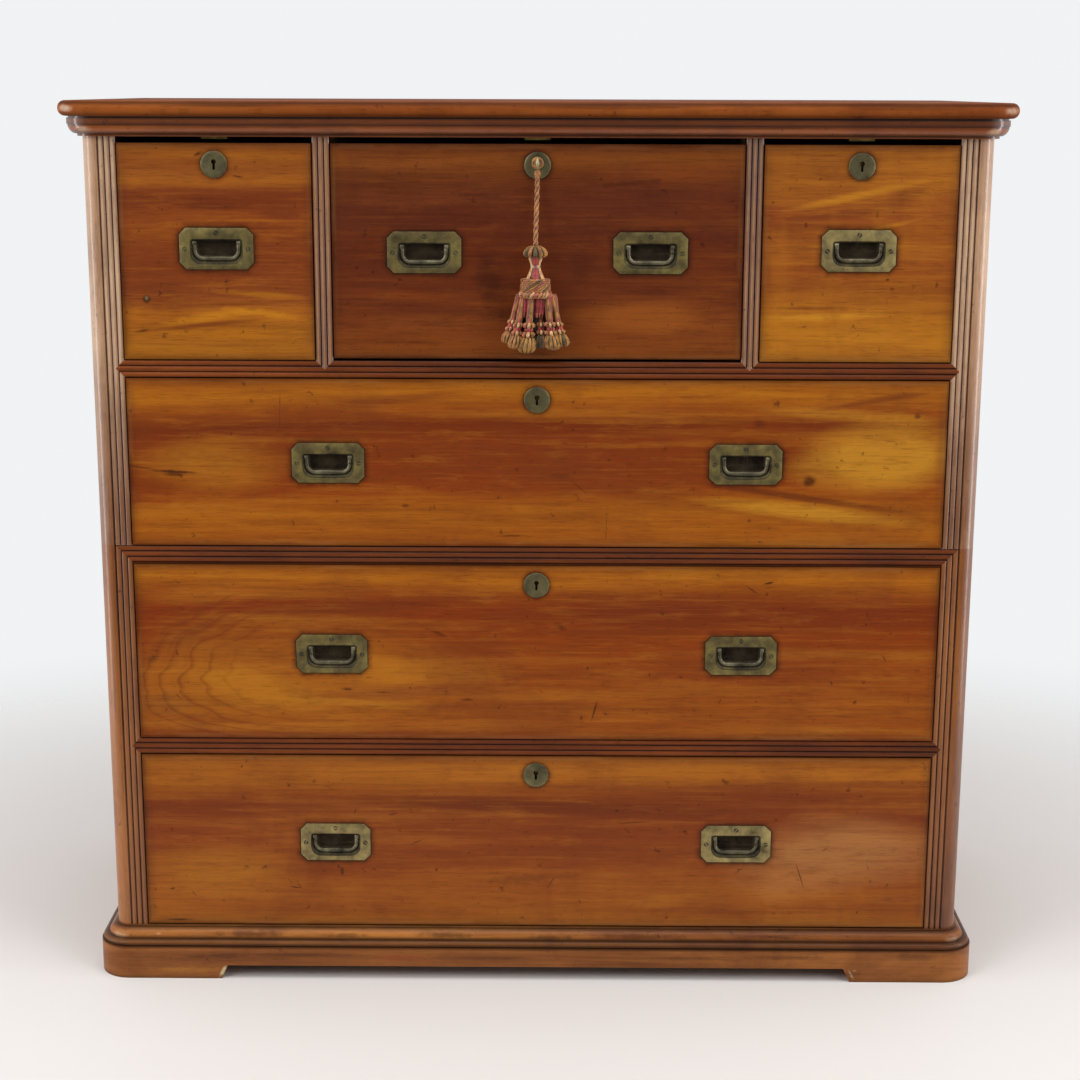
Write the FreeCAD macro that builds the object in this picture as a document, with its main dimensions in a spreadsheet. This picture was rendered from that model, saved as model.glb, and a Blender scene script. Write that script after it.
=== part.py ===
"""Two-part campaign chest with a secretaire drawer, as a parametric FreeCAD document.

Millimetres, +Z up, the front faces -Y. The origin is on the floor, under the middle of the chest.
"""
import FreeCAD, Part
import math
import os
import re
import Sketcher

Vector = FreeCAD.Vector
doc = FreeCAD.newDocument("CampaignChest")

# ---------------------------------------------------------------- driving sizes
SIZES = {
    # the two cases
    "caseWidth": 1073.0,
    "caseDepth": 477.5,
    "sideThickness": 18.0,
    "backThickness": 9.0,
    "backRebate": 6.0,
    "boardThickness": 12.0,
    "postDepth": 30.0,
    "railDepth": 20.0,
    # heights of the drawer openings, from the plinth up
    "plinthHeight": 64.0,
    "bottomOpening": 229.0,
    "middleOpening": 224.5,
    "topRailFillet": 1.5,
    "longOpening": 207.0,
    "topOpening": 263.0,
    "centreOpening": 488.0,
    # reeded frame
    "columnRadius": 19.5,
    "columnQuirk": 1.0,
    "quirkDepth": 1.6,
    "reedCount": 3.0,
    "reedWidth": 7.0,
    "reedHeight": 2.2,
    # cornice
    "corniceOverhang": 27.5,
    "topThickness": 18.0,
    "bullnoseRadius": 8.6,
    "underTopThickness": 23.0,
    "corniceFillet": 7.0,
    "filletOverhang": 18.0,
    "coveOverhang": 9.5,
    "filletStep": 1.0,
    "coveHeight": 11.0,
    "coveRadius": 12.65,
    "beadOverhang": 6.0,
    # plinth
    "plinthOverhang": 21.5,
    "plinthWall": 14.0,
    "plinthFlat": 42.0,
    "plinthQuirk": 2.0,
    "quirkInset": 3.5,
    "ovoloFoot": 3.0,
    "ovoloStep": 12.0,
    "ovoloLevel": 50.5,
    "upperOvolo": 14.0,
    "lowerOvolo": 6.0,
    "apronRise": 18.0,
    "footLength": 158.0,
    "footSlope": 9.0,
    # fits
    "frontGap": 1.0,
    "topGap": 7.5,
    "boxGap": 0.8,
    "runGap": 0.3,
    "pinGap": 0.05,
    "overcut": 1.0,
    # drawers
    "frontThickness": 20.0,
    "boxSide": 11.0,
    "boxBack": 9.0,
    "boxBottom": 7.0,
    "grooveDepth": 5.0,
    "bottomRise": 6.0,
    "rearGap": 8.0,
    "sideDrop": 5.0,
    "tailPitch": 38.0,
    "tailWidth": 26.0,
    "tailSplay": 3.0,
    "tailLength": 13.0,
    "backDrop": 14.0,
    "guideHeight": 24.0,
    # flush handles
    "plateWidth": 89.0,
    "plateHeight": 50.0,
    "plateThickness": 2.5,
    "plateCant": 8.0,
    "dishWidth": 60.0,
    "dishTop": 10.0,
    "dishBottom": 17.0,
    "dishRadius": 11.0,
    "dishDepth": 6.8,
    "dishWall": 2.5,
    "fingerWidth": 45.0,
    "fingerTop": 9.0,
    "fingerBottom": 8.5,
    "fingerDepth": 13.0,
    "bailWidth": 51.0,
    "bailDrop": 18.0,
    "bailRod": 4.0,
    "bailCorner": 8.0,
    "bailInset": 3.2,
    "octagonCut": 0.2929,
    "pivotRise": 6.5,
    "pivotPin": 3.0,
    "pivotReach": 6.2,
    "handleSpacing": 506.0,
    "centreSpacing": 268.0,
    "cornerHandleRise": 4.5,
    "fallHandleRise": 1.0,
    "lowerHandleDrop": 2.0,
    # locks
    "escutcheonRadius": 15.75,
    "escutcheonThickness": 1.5,
    "lockDown": 24.5,
    "keyholeRise": 3.0,
    "keyholeRadius": 2.9,
    "keyholeDrop": 9.3,
    "lockWidth": 62.0,
    "lockHeight": 40.0,
    "lockThickness": 9.0,
    "lockPlate": 2.0,
    "boltWidth": 16.0,
    "boltThickness": 5.0,
    "boltLength": 14.0,
    "strikeWidth": 30.0,
    "strikeDepth": 14.0,
    "strikeThickness": 3.0,
    "strikeGap": 1.0,
    # secretaire
    "fallThickness": 18.0,
    "fallGap": 2.2,
    "fallCorner": 4.5,
    "hingeKnuckle": 4.0,
    "hingePin": 1.8,
    "hingePinReach": 11.0,
    "hingeLength": 60.0,
    "hingeInset": 70.0,
    "leafThickness": 2.0,
    "leafLength": 32.0,
    "secretaireSide": 14.0,
    "fallLap": 8.0,
    "writingBoard": 11.0,
    "stayRadius": 170.0,
    "stayWidth": 9.0,
    "stayThickness": 3.0,
    "stayTail": 9.7,
    "leatherMargin": 34.0,
    "leatherThickness": 1.2,
    "nestDepth": 190.0,
    "nestBoard": 6.0,
    "nestFront": 9.0,
    "nestSide": 6.0,
    "nestInset": 12.0,
    "nestTier": 62.0,
    "nestColumns": 6.0,
    "knobRadius": 6.0,
    # key and tassel
    "shankRadius": 2.4,
    "shankReach": 14.0,
    "keyTip": 5.0,
    "bowDepth": 14.0,
    "bowWire": 3.0,
    "cordRadius": 2.6,
    "cordTurn": 8.0,
    "knotDrop": 12.2,
    "knotRadius": 3.6,
    "cordLength": 92.0,
    "tasselOut": 23.0,
    "tasselLength": 126.0,
    "skirtWidth": 79.0,
    "skirtDepth": 38.0,
    "skirtTuck": 12.0,
    "ruffleTop": 9.0,
    "ruffleWidth": 27.0,
    "ruffleLevel": 9.0,
    "neckWidth": 15.0,
    "neckFoot": 18.0,
    "neckLevel": 18.0,
    "collarLevel": 34.0,
    "collarRise": 6.0,
    "collarWidth": 34.0,
    "collarDepth": 29.0,
    "collarFoot": 62.0,
    # joint between the cases
    "pegRadius": 9.0,
    "pegHeight": 11.0,
    "pegInset": 90.0,
}

sheet = doc.addObject("Spreadsheet::Sheet", "Sizes")
for row, (alias, value) in enumerate(SIZES.items(), start=1):
    sheet.set(f"A{row}", alias)
    sheet.set(f"B{row}", str(value))
    sheet.setAlias(f"B{row}", alias)
doc.recompute()

# ---------------------------------------------------------------- levels and faces, as formulas
HALF = "(caseWidth / 2)"
FRONT = "((corniceOverhang - caseDepth) / 2)"
BACK = f"({FRONT} + caseDepth)"
RAIL = "(reedCount * reedWidth)"
STILE = f"(columnRadius + columnQuirk + {RAIL})"
OPENING = f"({HALF} - {STILE})"
MIDDLE_RAIL = "(plinthHeight + bottomOpening)"
MIDDLE_ROW = f"({MIDDLE_RAIL} + {RAIL})"
TOP_RAIL = f"({MIDDLE_ROW} + middleOpening)"
SPLIT = f"({TOP_RAIL} + topRailFillet + {RAIL})"
UPPER_RAIL = f"({SPLIT} + longOpening)"
TOP_ROW = f"({UPPER_RAIL} + {RAIL})"
CASE_TOP = f"({TOP_ROW} + topOpening)"
REEDS_BACK = f"({FRONT} + postDepth)"
RAILS_BACK = f"({FRONT} + railDepth)"
BOARD_FRONT = f"({FRONT} + frontThickness + frontGap)"
BOX_LENGTH = "(caseDepth - frontThickness - backThickness - rearGap)"


# ---------------------------------------------------------------- helpers
def named(formula):
    """Write each word of a formula as the cell of the sheet that it names."""
    return re.sub(r"[A-Za-z]\w*", lambda word: "Sizes." + word.group(0), formula)


def mm(formula):
    return float(sheet.evalExpression(named(formula)))


def bind(item, prop, formula):
    item.setExpression(prop, named(formula))


def place(item, x="0", y="0", z="0"):
    for axis, formula in zip("xyz", (x, y, z)):
        bind(item, f"Placement.Base.{axis}", formula)
    return item


def board(label, low, high):
    """A straight board between two corners, each given as three formulas."""
    item = doc.addObject("Part::Box", label.title().replace("_", ""))
    item.Label = label
    for prop, start, end in zip(("Length", "Width", "Height"), low, high):
        bind(item, prop, f"({end}) - ({start})")
    return place(item, *low)


def rod(label, radius, length, x, y, z, axis=None):
    item = doc.addObject("Part::Cylinder", label.title().replace("_", ""))
    item.Label = label
    bind(item, "Radius", radius)
    bind(item, "Height", length)
    if axis:
        item.Placement = FreeCAD.Placement(Vector(), FreeCAD.Rotation(Vector(0, 0, 1), Vector(*axis)))
    return place(item, x, y, z)


def cut(label, base, *tools):
    for tool in tools:
        result = doc.addObject("Part::Cut", label.title().replace("_", ""))
        result.Base = base
        result.Tool = tool
        base = result
    base.Label = label
    return base


def group(label, parts):
    """Loose pieces that share a node, each still a solid of its own."""
    result = doc.addObject("Part::Compound", label.title().replace("_", ""))
    result.Links = parts
    result.Label = label
    return result


def new_body(label):
    body = doc.addObject("PartDesign::Body", label.title().replace("_", ""))
    body.Label = label
    return body


def sketch(body, plane, label, offset="0"):
    item = body.newObject("Sketcher::SketchObject", label)
    origin = [face for face in body.Origin.OriginFeatures if face.Role == plane][0]
    item.AttachmentSupport = [(origin, "")]
    item.MapMode = "FlatFace"
    bind(item, "AttachmentOffset.Base.z", offset)
    return item


def pin_point(item, curve, end, x, y):
    """Hold one end of a curve at formulas for its place in the sketch."""
    for kind, formula in (("DistanceX", x), ("DistanceY", y)):
        index = item.addConstraint(Sketcher.Constraint(kind, -1, 1, curve, end, mm(formula)))
        bind(item, f"Constraints[{index}]", formula)


def outline(item, points, closed=True):
    """Lines and arcs through points (x, y) or (x, y, radius of the arc that arrives there).

    A positive radius turns anticlockwise.
    """
    count = len(points)
    curves = []
    last = count if closed else count - 1
    for i in range(last):
        start = Vector(mm(points[i][0]), mm(points[i][1]), 0)
        target = points[(i + 1) % count]
        end = Vector(mm(target[0]), mm(target[1]), 0)
        if len(target) == 2:
            curves.append(item.addGeometry(Part.LineSegment(start, end), False))
            continue
        radius = mm(target[2])
        chord = end - start
        rise = math.sqrt(max(radius ** 2 - chord.Length ** 2 / 4, 0))
        left = Vector(-chord.y, chord.x, 0).normalize()
        centre = (start + end) / 2 + left * (rise if radius > 0 else -rise)
        first, second = (start, end) if radius > 0 else (end, start)
        angles = [math.atan2(point.y - centre.y, point.x - centre.x) for point in (first, second)]
        circle = Part.Circle(centre, Vector(0, 0, 1), abs(radius))
        curves.append(item.addGeometry(Part.ArcOfCircle(circle, *angles), False))
        index = item.addConstraint(Sketcher.Constraint("Radius", curves[-1], abs(radius)))
        bind(item, f"Constraints[{index}]", target[2].lstrip("-"))
    targets = [points[(i + 1) % count] for i in range(last)]
    clockwise = [len(target) == 3 and mm(target[2]) < 0 for target in targets]
    starts = [2 if turned else 1 for turned in clockwise]
    ends = [1 if turned else 2 for turned in clockwise]
    for i in range(last):
        pin_point(item, curves[i], starts[i], points[i][0], points[i][1])
        if closed or i < last - 1:
            following = (i + 1) % last
            item.addConstraint(Sketcher.Constraint(
                "Coincident", curves[i], ends[i], curves[following], starts[following]))
    if not closed:
        pin_point(item, curves[-1], ends[-1], points[-1][0], points[-1][1])
    return item


def rectangle(item, x0, y0, x1, y1):
    return outline(item, [(x0, y0), (x1, y0), (x1, y1), (x0, y1)])


def circle(item, x, y, radius):
    ring = item.addGeometry(Part.Circle(Vector(mm(x), mm(y), 0), Vector(0, 0, 1), mm(radius)), False)
    pin_point(item, ring, 3, x, y)
    index = item.addConstraint(Sketcher.Constraint("Radius", ring, mm(radius)))
    bind(item, f"Constraints[{index}]", radius)
    return item


def canted(item, width, height, cant, x="0", y="0"):
    """A rectangle with its four corners cut off."""
    left, right = f"{x} - ({width}) / 2", f"{x} + ({width}) / 2"
    low, high = f"{y} - ({height}) / 2", f"{y} + ({height}) / 2"
    return outline(item, [
        (f"{left} + {cant}", low), (f"{right} - {cant}", low), (right, f"{low} + {cant}"),
        (right, f"{high} - {cant}"), (f"{right} - {cant}", high), (f"{left} + {cant}", high),
        (left, f"{high} - {cant}"), (left, f"{low} + {cant}")])


def pad(body, profile, length, reverse=False):
    feature = body.newObject("PartDesign::Pad", "Pad")
    feature.Profile = profile
    feature.Reversed = reverse
    bind(feature, "Length", length)
    doc.recompute()
    return feature


TINY = 0.01


def pocket(body, profile, depth, reverse=False):
    """Cut a profile into the body, and check that it did cut."""
    before = body.Shape.Volume
    feature = body.newObject("PartDesign::Pocket", "Pocket")
    feature.Profile = profile
    feature.Reversed = reverse
    bind(feature, "Length", depth)
    doc.recompute()
    if body.Shape.Volume > before - TINY:
        raise RuntimeError(f"{body.Label}: {profile.Name} cuts nothing")
    return feature


def mirror(label, item):
    """The same piece on the other side of the chest."""
    result = doc.addObject("Part::Mirroring", label.title().replace("_", ""))
    result.Source = item
    result.Normal = Vector(1, 0, 0)
    result.Label = label
    return result


NODES = []


def node(item):
    NODES.append(item)
    return item


# ---------------------------------------------------------------- reeded frame
def reeds(start, upright=False):
    """Outline points of a row of reeds, half-round beads side by side, crests flush with the front."""
    valley = f"{FRONT} + reedHeight"
    radius = "((reedWidth / 2) ^ 2 + reedHeight ^ 2) / (2 * reedHeight)"
    points = [(valley, start) if upright else (start, valley)]
    for i in range(int(SIZES["reedCount"])):
        along = f"{start} + {i + 1} * reedWidth"
        points.append((valley, along, f"-({radius})") if upright else (along, valley, f"({radius})"))
    return points


def column(label, low, high, notches, mitre=None):
    """A corner post: quarter-round, quirk and three reeds, notched where the rails meet it."""
    body = new_body(label)
    section = sketch(body, "XY_Plane", "Section", low)
    outer = f"-{HALF}"
    inner = f"-{OPENING}"
    shoulder = f"-{HALF} + columnRadius"
    first_reed = f"-{OPENING} - {RAIL}"
    points = [(outer, REEDS_BACK), (outer, f"{FRONT} + columnRadius"), (shoulder, FRONT, "columnRadius"),
              (shoulder, f"{FRONT} + quirkDepth"), (first_reed, f"{FRONT} + quirkDepth")]
    outline(section, points + reeds(first_reed) + [(inner, REEDS_BACK)])
    pad(body, section, f"{high} - {low}")
    for count, level in enumerate(notches):
        notch = sketch(body, "XZ_Plane", f"Notch{count}", f"-{FRONT}")
        outline(notch, [(inner, level), (inner, f"{level} + {RAIL}"),
                        (f"{inner} - {RAIL} / 2", f"{level} + {RAIL} / 2")])
        pocket(body, notch, "railDepth")
    if mitre:
        corner = sketch(body, "XZ_Plane", "Mitre", f"-{FRONT}")
        outline(corner, [(inner, mitre), (inner, high), (first_reed, high)])
        pocket(body, corner, "railDepth")
    return body


def rail(label, level, seats=(), mitred=False):
    """A reeded rail. Its ends are birdsmouthed into the posts, or mitred at the top of a case."""
    body = new_body(label)
    reach = f"({OPENING} + {RAIL})" if mitred else f"({OPENING} + {RAIL} / 2)"
    reed_foot = f"({level} + topRailFillet)" if mitred else level
    top = f"({reed_foot} + {RAIL})"
    section = sketch(body, "YZ_Plane", "Section", f"-{reach}")
    points = [(RAILS_BACK, top), (RAILS_BACK, level)]
    if mitred:
        points += [(FRONT, level), (FRONT, reed_foot)]
    outline(section, points + reeds(reed_foot, upright=True))
    pad(body, section, f"2 * {reach}")
    for side, sign in (("Left", "-1"), ("Right", "1")):
        near = f"{sign} * {OPENING}"
        far = f"{sign} * {reach}"
        ends = sketch(body, "XZ_Plane", f"{side}End", f"-{FRONT}")
        if mitred:
            outline(ends, [(near, level), (near, reed_foot), (far, top), (far, level)])
            pocket(body, ends, "railDepth")
            continue
        middle = f"{level} + {RAIL} / 2"
        outline(ends, [(near, level), (far, middle), (far, level)])
        pocket(body, ends, "railDepth")
        upper = sketch(body, "XZ_Plane", f"{side}Upper", f"-{FRONT}")
        outline(upper, [(near, top), (far, middle), (far, top)])
        pocket(body, upper, "railDepth")
    for count, seat in enumerate(seats):
        mouth = sketch(body, "XZ_Plane", f"Seat{count}", f"-{FRONT}")
        outline(mouth, [(f"{seat} - {RAIL} / 2", top), (f"{seat} + {RAIL} / 2", top),
                        (seat, f"{top} - {RAIL} / 2")])
        pocket(body, mouth, "railDepth")
    return body


DIVIDER = f"((centreOpening + {RAIL}) / 2)"


def divider(label, sign):
    """A reeded upright between the top drawers. Its foot ends in a point over the rail below."""
    body = new_body(label)
    centre = f"{sign} * {DIVIDER}"
    start = f"{centre} - {RAIL} / 2"
    section = sketch(body, "XY_Plane", "Section", f"{TOP_ROW} - {RAIL} / 2")
    outline(section, [(start, RAILS_BACK)] + reeds(start) + [(f"{centre} + {RAIL} / 2", RAILS_BACK)])
    pad(body, section, f"{CASE_TOP} - {TOP_ROW} + {RAIL} / 2")
    for side, edge_x in (("Left", start), ("Right", f"{centre} + {RAIL} / 2")):
        foot = sketch(body, "XZ_Plane", f"{side}Foot", f"-{FRONT}")
        low = f"{TOP_ROW} - {RAIL} / 2"
        outline(foot, [(edge_x, TOP_ROW), (centre, low), (edge_x, low)])
        pocket(body, foot, "railDepth")
    return body


def pair(label, left):
    """A left-hand piece and its mirror image, as two solids of one node."""
    return node(group(label, [left, mirror(f"{label}_right", left)]))


pair("lower_columns", column("lower_column", "plinthHeight", SPLIT, [MIDDLE_RAIL], f"({SPLIT} - {RAIL})"))
pair("upper_columns", column("upper_column", SPLIT, CASE_TOP, [UPPER_RAIL]))
node(rail("lower_top_rail", TOP_RAIL, mitred=True))
node(rail("lower_middle_rail", MIDDLE_RAIL))
node(rail("upper_rail", UPPER_RAIL, seats=(f"-1 * {DIVIDER}", DIVIDER)))
node(group("upper_dividers", [divider("left_divider", "-1"), divider("right_divider", "1")]))


# ---------------------------------------------------------------- carcasses
def side_panel(label, low, high):
    panel = board(f"{label}_board", (f"-{HALF}", REEDS_BACK, low), (f"-{HALF} + sideThickness", BACK, high))
    rebate = board(f"{label}_rebate",
                   (f"-{HALF} + sideThickness - backRebate", f"{BACK} - backThickness", low),
                   (f"-{HALF} + sideThickness + overcut", f"{BACK} + overcut", high))
    return cut(label, panel, rebate)


def back_panel(label, low, high):
    edge = f"({HALF} - sideThickness + backRebate)"
    return node(board(label, (f"-{edge}", f"{BACK} - backThickness", low), (edge, BACK, high)))


INNER = f"({HALF} - sideThickness)"
SHELF_BACK = f"({BACK} - backThickness)"


def guides(label, level):
    """Strips beside a long drawer that fill the step between the post and the case side."""
    left = board(label, (f"-{INNER}", REEDS_BACK, level),
                 (f"-{OPENING}", SHELF_BACK, f"{level} + guideHeight"))
    return [left, mirror(f"{label}_right", left)]


pair("lower_sides", side_panel("lower_side", "plinthHeight", SPLIT))
pair("upper_sides", side_panel("upper_side", SPLIT, CASE_TOP))
back_panel("lower_back", "plinthHeight", SPLIT)
back_panel("upper_back", SPLIT, CASE_TOP)


def case_board(label, front, low, high):
    """A full-width board, with its front corners cut away round the posts."""
    whole = board(f"{label}_board", (f"-{INNER}", front, low), (INNER, SHELF_BACK, high))
    left = board(f"{label}_left", (f"-{INNER} - overcut", f"{front} - overcut", low),
                 (f"-{OPENING}", REEDS_BACK, high))
    return cut(label, whole, left, mirror(f"{label}_right", left))


LOWER_FLOOR = "(plinthHeight + boardThickness)"
UPPER_FLOOR = f"({SPLIT} + boardThickness)"
node(group("lower_boards", [
    case_board("base_board", BOARD_FRONT, "plinthHeight", LOWER_FLOOR),
    case_board("lower_dust_board", RAILS_BACK, f"{MIDDLE_ROW} - boardThickness", MIDDLE_ROW),
    case_board("lower_top_board", RAILS_BACK, f"{SPLIT} - boardThickness", SPLIT),
] + guides("bottom_guide", LOWER_FLOOR) + guides("middle_guide", MIDDLE_ROW)))
node(group("upper_boards", [
    case_board("upper_base_board", BOARD_FRONT, SPLIT, UPPER_FLOOR),
    case_board("upper_dust_board", RAILS_BACK, f"{TOP_ROW} - boardThickness", TOP_ROW),
] + guides("long_guide", UPPER_FLOOR) + guides("top_guide", TOP_ROW)))
left_partition = board("left_partition", (f"-{DIVIDER} - {RAIL} / 2", RAILS_BACK, TOP_ROW),
                       (f"-{DIVIDER} + {RAIL} / 2", SHELF_BACK, CASE_TOP))
pair("upper_partitions", left_partition)

# ---------------------------------------------------------------- top, cornice and plinth
def peg_places():
    for across in (-1, 1):
        for y in (f"{FRONT} + pegInset", f"{BACK} - pegInset"):
            yield f"{across} * ({INNER} - pegInset)", y


node(group("locating_pegs", [
    rod(f"peg_{count}", "pegRadius", "pegHeight", x, y, SPLIT)
    for count, (x, y) in enumerate(peg_places())]))
base_board = [item for item in doc.Objects if item.Label == "upper_base_board"][0]
sockets = [rod(f"peg_socket_{count}", "pegRadius + runGap", "pegHeight + 2 * overcut", x, y,
               f"{SPLIT} - overcut") for count, (x, y) in enumerate(peg_places())]
upper_boards = [item for item in NODES if item.Label == "upper_boards"][0]
upper_boards.Links = [cut("drilled_base_board", base_board, *sockets)] + upper_boards.Links[1:]

TOP_LEVEL = f"({CASE_TOP} + underTopThickness)"


def top_edge(item, overhang, radius):
    """Plan of the top: square at the back, round at the two front corners."""
    side = f"({HALF} + {overhang})"
    face = f"({FRONT} - {overhang})"
    return outline(item, [(f"-{side}", BACK), (f"-{side}", f"{face} + {radius}"),
                          (f"-{side} + {radius}", face, radius), (f"{side} - {radius}", face),
                          (side, f"{face} + {radius}", radius), (side, BACK)])


def round_over(body, feature, radius, levels):
    """Round the front and side edges that lie at the given heights."""
    edges = []
    for number, edge in enumerate(feature.Shape.Edges, start=1):
        box = edge.BoundBox
        flat = box.ZLength < TINY and any(abs(box.ZMin - mm(level)) < TINY for level in levels)
        if flat and box.YMin < mm(BACK) - TINY:
            edges.append(f"Edge{number}")
    fillet = body.newObject("PartDesign::Fillet", "Bullnose")
    fillet.Base = (feature, edges)
    bind(fillet, "Radius", radius)
    doc.recompute()


top_board = new_body("top_board")
top_plan = top_edge(sketch(top_board, "XY_Plane", "Plan", TOP_LEVEL), "corniceOverhang",
                    "(columnRadius + corniceOverhang)")
top_slab = pad(top_board, top_plan, "topThickness")
round_over(top_board, top_slab, "bullnoseRadius", (TOP_LEVEL, f"{TOP_LEVEL} + topThickness"))
node(top_board)

under_top = new_body("under_top")
under_plan = top_edge(sketch(under_top, "XY_Plane", "Plan", CASE_TOP), "0", "columnRadius")
pad(under_top, under_plan, "underTopThickness")
node(under_top)


def moulding(label, section):
    """A moulding run round both sides and the front, past the rounded corners."""
    body = new_body(label)
    path = sketch(body, "XY_Plane", "Path")
    outline(path, [(f"-{HALF}", BACK), (f"-{HALF}", f"{FRONT} + columnRadius"),
                   (f"-{HALF} + columnRadius", FRONT, "columnRadius"), (f"{HALF} - columnRadius", FRONT),
                   (HALF, f"{FRONT} + columnRadius", "columnRadius"), (HALF, BACK)], closed=False)
    profile = sketch(body, "XZ_Plane", "Profile", f"-{BACK}")
    outline(profile, section)
    doc.recompute()
    sweep = body.newObject("PartDesign::AdditivePipe", "Sweep")
    sweep.Profile = profile
    sweep.Spine = (path, [])
    doc.recompute()
    return body


def mitred_lengths(label, run):
    """The front length and the two side lengths of a moulding, mitred at the corners."""
    reach = "corniceOverhang * 2"
    front_corner = f"{FRONT} - {reach}"
    inside = f"{FRONT} + {reach}"
    plans = {
        "front": [(f"-{HALF} - {reach}", front_corner), (f"{HALF} + {reach}", front_corner),
                  (f"{HALF} - {reach}", inside), (f"-{HALF} + {reach}", inside)],
        "left": [(f"-{HALF} - {reach}", front_corner), (f"-{HALF} + {reach}", inside),
                 (f"-{HALF} + {reach}", f"{BACK} + overcut"), (f"-{HALF} - {reach}", f"{BACK} + overcut")],
    }
    pieces = []
    for side, plan in plans.items():
        wedge = new_body(f"{label}_{side}_wedge")
        pad(wedge, outline(sketch(wedge, "XY_Plane", "Plan"), plan), f"{TOP_LEVEL} + overcut")
        piece = doc.addObject("Part::Common", f"{label}_{side}".title().replace("_", ""))
        piece.Base = run
        piece.Tool = wedge
        piece.Label = f"{label}_{side}_length"
        pieces.append(piece)
    return pieces


def at(overhang, height):
    """A point of a moulding's section, as overhang from the case and height."""
    return (f"-{HALF} - ({overhang})", height)


cornice_fillet_top = f"{TOP_LEVEL} - plinthQuirk"
cornice_cove_top = f"{cornice_fillet_top} - corniceFillet"
cornice_cove_foot = f"{cornice_cove_top} - coveHeight"
cornice_run = moulding("cornice_run", [
    at("0", TOP_LEVEL), at("filletOverhang - plinthQuirk", TOP_LEVEL),
    at("filletOverhang - plinthQuirk", cornice_fillet_top), at("filletOverhang", cornice_fillet_top),
    at("filletOverhang", cornice_cove_top), at("filletOverhang - filletStep", cornice_cove_top),
    (*at("coveOverhang", cornice_cove_foot), "coveRadius"),
    at("beadOverhang", cornice_cove_foot), at("beadOverhang", CASE_TOP), at("0", CASE_TOP)])
cornice_front, cornice_left = mitred_lengths("cornice", cornice_run)
node(group("cornice_moulding", [cornice_front, cornice_left, mirror("cornice_right", cornice_left)]))

plinth_run = moulding("plinth_run", [
    at("-plinthWall", "plinthHeight"), at("ovoloFoot - filletStep", "plinthHeight"),
    at("ovoloFoot - filletStep", "plinthHeight - plinthQuirk"),
    at("ovoloFoot", "plinthHeight - plinthQuirk"),
    (*at("ovoloStep", "ovoloLevel"), "upperOvolo"), at("ovoloStep + plinthQuirk / 2", "ovoloLevel"),
    (*at("plinthOverhang - plinthQuirk", "plinthFlat + 2 * plinthQuirk"), "lowerOvolo"),
    at("plinthOverhang - plinthQuirk", "plinthFlat + plinthQuirk"),
    at("plinthOverhang - quirkInset", "plinthFlat + plinthQuirk"),
    at("plinthOverhang - quirkInset", "plinthFlat"),
    at("plinthOverhang", "plinthFlat"), at("plinthOverhang", "0"), at("-plinthWall", "0")])
plinth_front_length, plinth_left_length = mitred_lengths("plinth", plinth_run)


def apron(label, plane, offset, low, high, depth):
    """The shallow cut-out between two bracket feet, as a solid to cut away."""
    body = new_body(label)
    profile = sketch(body, plane, "Profile", offset)
    outline(profile, [(low, "-overcut"), (high, "-overcut"), (f"{high} - footSlope", "apronRise"),
                      (f"{low} + footSlope", "apronRise")])
    pad(body, profile, depth, reverse=True)
    return body


FOOT_INNER = f"({HALF} + plinthOverhang - footLength)"
node(cut("plinth_front", plinth_front_length,
         apron("front_apron", "XZ_Plane", f"-{FRONT} + plinthOverhang + overcut", f"-{FOOT_INNER}",
               FOOT_INNER, "plinthOverhang + plinthWall + 2 * overcut")))
side_apron = apron("side_apron", "YZ_Plane", f"-{HALF} + plinthWall + overcut",
                   f"{FRONT} - plinthOverhang + footLength", f"{BACK} - footLength",
                   "plinthOverhang + plinthWall + 2 * overcut")
pair("plinth_sides", cut("plinth_left", plinth_left_length, side_apron))
plinth_inner = f"({HALF} - plinthWall)"
rear_rail = board("plinth_rear_board", (f"-{plinth_inner}", f"{BACK} - plinthWall", "0"),
                  (plinth_inner, BACK, "plinthHeight"))
node(cut("plinth_back", rear_rail,
         apron("rear_apron", "XZ_Plane", f"-{BACK} + plinthWall + overcut", f"-{FOOT_INNER}", FOOT_INNER,
               "plinthWall + 2 * overcut")))


# ---------------------------------------------------------------- brassware
def handle_plate(label, x, z):
    """A flush plate with canted corners, dished for the bail, and a deeper finger pocket behind it."""
    body = new_body(label)
    place(body, x, FRONT, z)
    plate = canted(sketch(body, "XZ_Plane", "Plate"), "plateWidth", "plateHeight", "plateCant")
    pad(body, plate, "plateThickness", reverse=True)
    pan = rectangle(sketch(body, "XZ_Plane", "Pan"), "-dishWidth / 2 - dishWall", "-dishBottom - dishWall",
                    "dishWidth / 2 + dishWall", "dishTop + dishWall")
    pad(body, pan, "fingerDepth + dishWall", reverse=True)
    dish = sketch(body, "XZ_Plane", "Dish")
    outline(dish, [("-dishWidth / 2", "dishTop"), ("-dishWidth / 2", "-dishBottom + dishRadius"),
                   ("-dishWidth / 2 + dishRadius", "-dishBottom", "dishRadius"),
                   ("dishWidth / 2 - dishRadius", "-dishBottom"),
                   ("dishWidth / 2", "-dishBottom + dishRadius", "dishRadius"), ("dishWidth / 2", "dishTop")])
    pocket(body, dish, "dishDepth")
    finger = rectangle(sketch(body, "XZ_Plane", "Finger"), "-fingerWidth / 2", "-fingerBottom",
                       "fingerWidth / 2", "fingerTop")
    pocket(body, finger, "fingerDepth")
    bore = circle(sketch(body, "YZ_Plane", "Bore", "-bailWidth / 2 - pivotReach - runGap"), "bailInset",
                  "pivotRise", "pivotPin / 2 + pinGap")
    pocket(body, bore, "bailWidth + 2 * pivotReach + 2 * runGap", reverse=True)
    return body


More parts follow.
